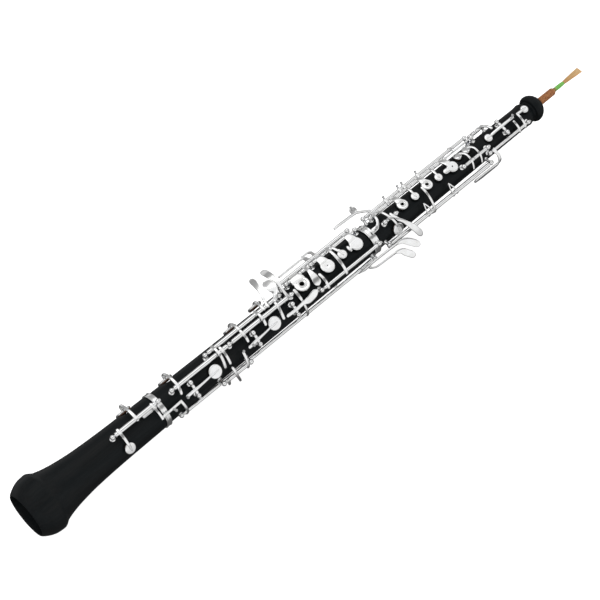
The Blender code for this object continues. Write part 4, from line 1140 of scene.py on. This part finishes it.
# ---------------------------------------------------------------- reed
def make_reed():
    """The reed: a brass staple in a cork sleeve, thread wound over it, and two scraped blades."""
    tube = [(WELL_END, 1.9), (WELL_END, 2.5), (CORK_TOP + 2, 2.0), (CORK_TOP + 4, 1.5), (CORK_TOP + 4, 1.2)]
    piece("reed_staple_metal", hollow(tube, 40), LOOKS["brass"], "reed", ["reed_staple"])
    sleeve = [(WELL_END + 1, 2.45), (WELL_END + 1, 3.2), (CROWN_TOP, 3.62), (CORK_TOP - 1.4, 3.55),
              (CORK_TOP - 0.3, 3.2), (CORK_TOP, 2.7), (CORK_TOP, 2.2)]
    cork = hollow(filleted(sleeve, 0.8, 5), 56)
    piece("reed_cork_sleeve", cork, LOOKS["cork"], "reed", ["reed_cork"])
    make_thread()
    make_cane()


def make_thread():
    """Thread wound side by side, and the turned core that it is wound on."""
    thread = Shell()
    length = THREAD_END - THREAD_START - 2 * THREAD_THICKNESS
    turns = int((THREAD_END - THREAD_START) / (2 * THREAD_THICKNESS))
    per_turn, sides = 28, 8
    rings = []
    for i in range(turns * per_turn + 1):
        done = i / (turns * per_turn)
        turn = math.degrees(2 * math.pi * i / per_turn)
        centre = place(THREAD_START + THREAD_THICKNESS + length * done, turn, winding_radius(done))
        ring = []
        for k in range(sides):
            angle = 2 * math.pi * k / sides
            away = X_AXIS * math.cos(angle) + outward(turn) * math.sin(angle)
            ring.append(centre + away * THREAD_THICKNESS * 1.06)
        rings.append(ring)
    thread.loft(rings)
    steps = 8
    core = [(THREAD_START + length * k / steps, winding_radius(k / steps)) for k in range(steps + 1)]
    core = [(THREAD_START, 0.0)] + core + [(THREAD_START + length, 0.0)]
    thread.turned(ORIGIN, X_AXIS, core, 32)
    piece("reed_thread_winding", thread, LOOKS["thread"], "reed", ["reed_thread"])


def winding_radius(done):
    """The winding swells a little in the middle and tapers at both ends."""
    return 1.55 + 0.22 * math.sin(math.pi * min(1.0, done * 1.15)) ** 0.6


def make_cane():
    """Two blades of cane, round under the thread and flat and open at the tip."""
    # (x, half the thickness, half the width, roundness) and, last, back inside the tip's opening.
    shape = [(626.2, 1.45, 1.5, 1.0), (630, 1.62, 1.95, 0.8), (636, 1.35, 2.45, 0.45),
             (643, 0.85, 2.95, 0.2), (REED_TIP - 0.05, 0.42, 3.3, 0.1)]
    spots = [Vector((x, 0, 0)) for x in (626.2, 630, 636, 643, REED_TIP)]
    rows = smooth(shape, spots, 0.8)
    rings = [blade_ring(x, thick, wide, roundness) for x, thick, wide, roundness in rows]
    for x, thick, wide, roundness in rows[:-9:-1]:
        rings.append(blade_ring(x, max(0.05, thick - 0.28), wide - 0.25, roundness))
    cane = Shell()
    cane.loft(rings)
    piece("reed_cane_blades", cane, LOOKS["cane"], "reed", ["reed_cane"])


def blade_ring(x, thick, wide, roundness, sides=48):
    """A lens from round (1) to two thin blades that meet at sharp edges (0)."""
    ring = []
    for i in range(sides):
        angle = 2 * math.pi * i / sides
        c, s = math.cos(angle), math.sin(angle)
        lens = math.copysign(1 - abs(c) ** 2, s)
        ring.append((x, c * wide, thick * (s * roundness + lens * (1 - roundness))))
    return ring


# ---------------------------------------------------------------- floor, light and camera
# Places and distances are in metres here.
FLOOR_LEVEL = -0.0265     # just under the bell
FLOOR_HALF_SIZE = 6.0
FLOOR_GLOW = 0.85         # a white sheet lit a little from below, as on a light table
FLOOR_PAINTED_SHADE = 0.12         # painted shade: the sheet's brightness in the silver, nearer to the oboe than NEAR_REACH
FLOOR_FAR = 0.66          # and beyond FAR_REACH
NEAR_REACH = 0.06
FAR_REACH = 0.13
GAP_TURN = 22.0           # where the dark gap between the lights is, from straight up towards -Y
WORLD_LIGHT = 0.88
# Brightness of the surroundings by the angle away from the gap, in degrees.
SURROUNDINGS = [(0, 0.28), (8, 0.32), (16, 1.06), (58, 1.06), (82, 0.45), (110, 0.36), (180, 0.35)]

# The camera stands off the bell's end, in a plane through the bore.
CAMERA_X = -0.239         # along the bore from the bell's mouth
CAMERA_DISTANCE = 1.300   # from the bore's axis
CAMERA_TURN = 22.0        # degrees about the bore, from straight up towards -Y
CAMERA_AIM = (0.2908, -0.0029, -0.0012)
BORE_SLANT = 38.95        # degrees above the picture's horizontal at which the bore lies
LENS = 100.56             # millimetres, on a 36 mm sensor


def make_floor():
    """A plain white sheet. The silver mirrors a dimmer glowing one with painted shade near the oboe, so that
    its edges stay dark.
    """
    look = Look("floor_sheet", Roughness=0.8, Specular_IOR_Level=0.1, Emission_Color=(1, 1, 1, 1),
                Emission_Strength=FLOOR_GLOW)
    paper = look.noise((3, 3, 3), detail=3.0)
    look.set("Base Color", look.ramp(paper, (0.3, (0.795, 0.795, 0.795)), (0.7, (0.805, 0.805, 0.805))))
    split = new_node(look.tree, "SeparateXYZ")
    look.link(look.coordinates((1, 1, 1)), split.inputs["Vector"])
    aside = math_node(look.tree, "ABSOLUTE", split.outputs["Y"])
    # Painted shade: the glowing sheet that the silver mirrors is darker near the oboe, standing in for the
    # oboe's shadow on it.
    dim = new_node(look.tree, "Emission")
    strength = look.ranged(aside, NEAR_REACH, FAR_REACH, FLOOR_PAINTED_SHADE, FLOOR_FAR)
    look.link(strength, dim.inputs["Strength"])
    show_to_camera(look.tree, dim.outputs["Emission"], look.shader.outputs["BSDF"],
                   look.tree.nodes["Material Output"])
    mesh = bpy.data.meshes.new("floor")
    half = FLOOR_HALF_SIZE
    corners = [(-half, -half), (half, -half), (half, half), (-half, half)]
    mesh.from_pydata([(x, y, FLOOR_LEVEL) for x, y in corners], [], [(0, 1, 2, 3)])
    mesh.materials.append(look.material)
    floor = bpy.data.objects.new("floor", mesh)
    bpy.context.collection.objects.link(floor)


def show_to_camera(tree, lit_with, seen, output):
    """Show one shader directly, and light and mirror the object with another."""
    path = new_node(tree, "LightPath")
    mix = new_node(tree, "MixShader")
    tree.links.new(path.outputs["Is Camera Ray"], mix.inputs["Fac"])
    tree.links.new(lit_with, mix.inputs[1])
    tree.links.new(seen, mix.inputs[2])
    tree.links.new(mix.outputs["Shader"], output.inputs["Surface"])


def make_world():
    """A white studio: two long soft boxes along the oboe, with a dark gap between them overhead."""
    world = bpy.data.worlds.new("studio")
    bpy.context.scene.world = world
    world.use_nodes = True
    tree = world.node_tree
    background = tree.nodes["Background"]
    background.inputs["Color"].default_value = (1, 1, 1, 1)
    backdrop = new_node(tree, "Background", Color=(1, 1, 1, 1))
    direction = new_node(tree, "TexCoord")
    split = new_node(tree, "SeparateXYZ")
    tree.links.new(direction.outputs["Generated"], split.inputs["Vector"])
    flip = math_node(tree, "MULTIPLY", split.outputs["Y"], -1.0)
    turn = math_node(tree, "ARCTAN2", flip, split.outputs["Z"])
    away = math_node(tree, "ABSOLUTE", math_node(tree, "SUBTRACT", turn, math.radians(GAP_TURN)))
    ramp = new_node(tree, "ValToRGB")
    fill_ramp(ramp, [(angle / 180, (value, value, value)) for angle, value in SURROUNDINGS])
    tree.links.new(math_node(tree, "DIVIDE", away, math.pi), ramp.inputs["Fac"])
    light = math_node(tree, "MULTIPLY", ramp.outputs["Color"], WORLD_LIGHT)
    tree.links.new(light, background.inputs["Strength"])
    show_to_camera(tree, background.outputs["Background"], backdrop.outputs["Background"],
                   tree.nodes["World Output"])


def make_light():
    """A broad soft light from above and in front, for a faint sheen on the wood."""
    light = bpy.data.lights.new("soft_box", "AREA")
    light.shape = "RECTANGLE"
    light.size = 1.6
    light.size_y = 0.7
    light.energy = 2.0
    lamp = bpy.data.objects.new("soft_box", light)
    lamp.location = (0.3, 0.75, 1.15)
    aim = Vector((0.3, 0, 0)) - lamp.location
    lamp.rotation_euler = aim.to_track_quat("-Z", "Y").to_euler()
    bpy.context.collection.objects.link(lamp)


def make_camera():
    """A long lens that looks along the oboe from the bell's end, so that the bell comes out larger."""
    camera = bpy.data.objects.new("camera", bpy.data.cameras.new("camera"))
    turn = math.radians(CAMERA_TURN)
    spot = Vector((CAMERA_X, -CAMERA_DISTANCE * math.sin(turn), CAMERA_DISTANCE * math.cos(turn)))
    back = (spot - Vector(CAMERA_AIM)).normalized()
    along = (X_AXIS - back * back.x).normalized()
    across = back.cross(along)
    slant = math.radians(BORE_SLANT)
    right = along * math.cos(slant) - across * math.sin(slant)
    up = along * math.sin(slant) + across * math.cos(slant)
    camera.matrix_world = Matrix.Translation(spot) @ Matrix((right, up, back)).transposed().to_4x4()
    camera.data.sensor_width = 36
    camera.data.lens = LENS
    camera.data.clip_start = 0.05
    camera.data.clip_end = 50
    bpy.context.collection.objects.link(camera)
    bpy.context.scene.camera = camera


def main():
    """Build everything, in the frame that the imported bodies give."""
    bpy.context.scene.view_settings.view_transform = "Standard"
    make_camera()
    make_world()
    make_light()
    make_floor()
    make_bell()
    make_joints()
    make_rings()
    make_tenon_corks()
    make_thumb_rest()
    make_reed()
    for name in LINES:
        make_rod(name)
    for name in KEYS:
        make_key(name)


main()
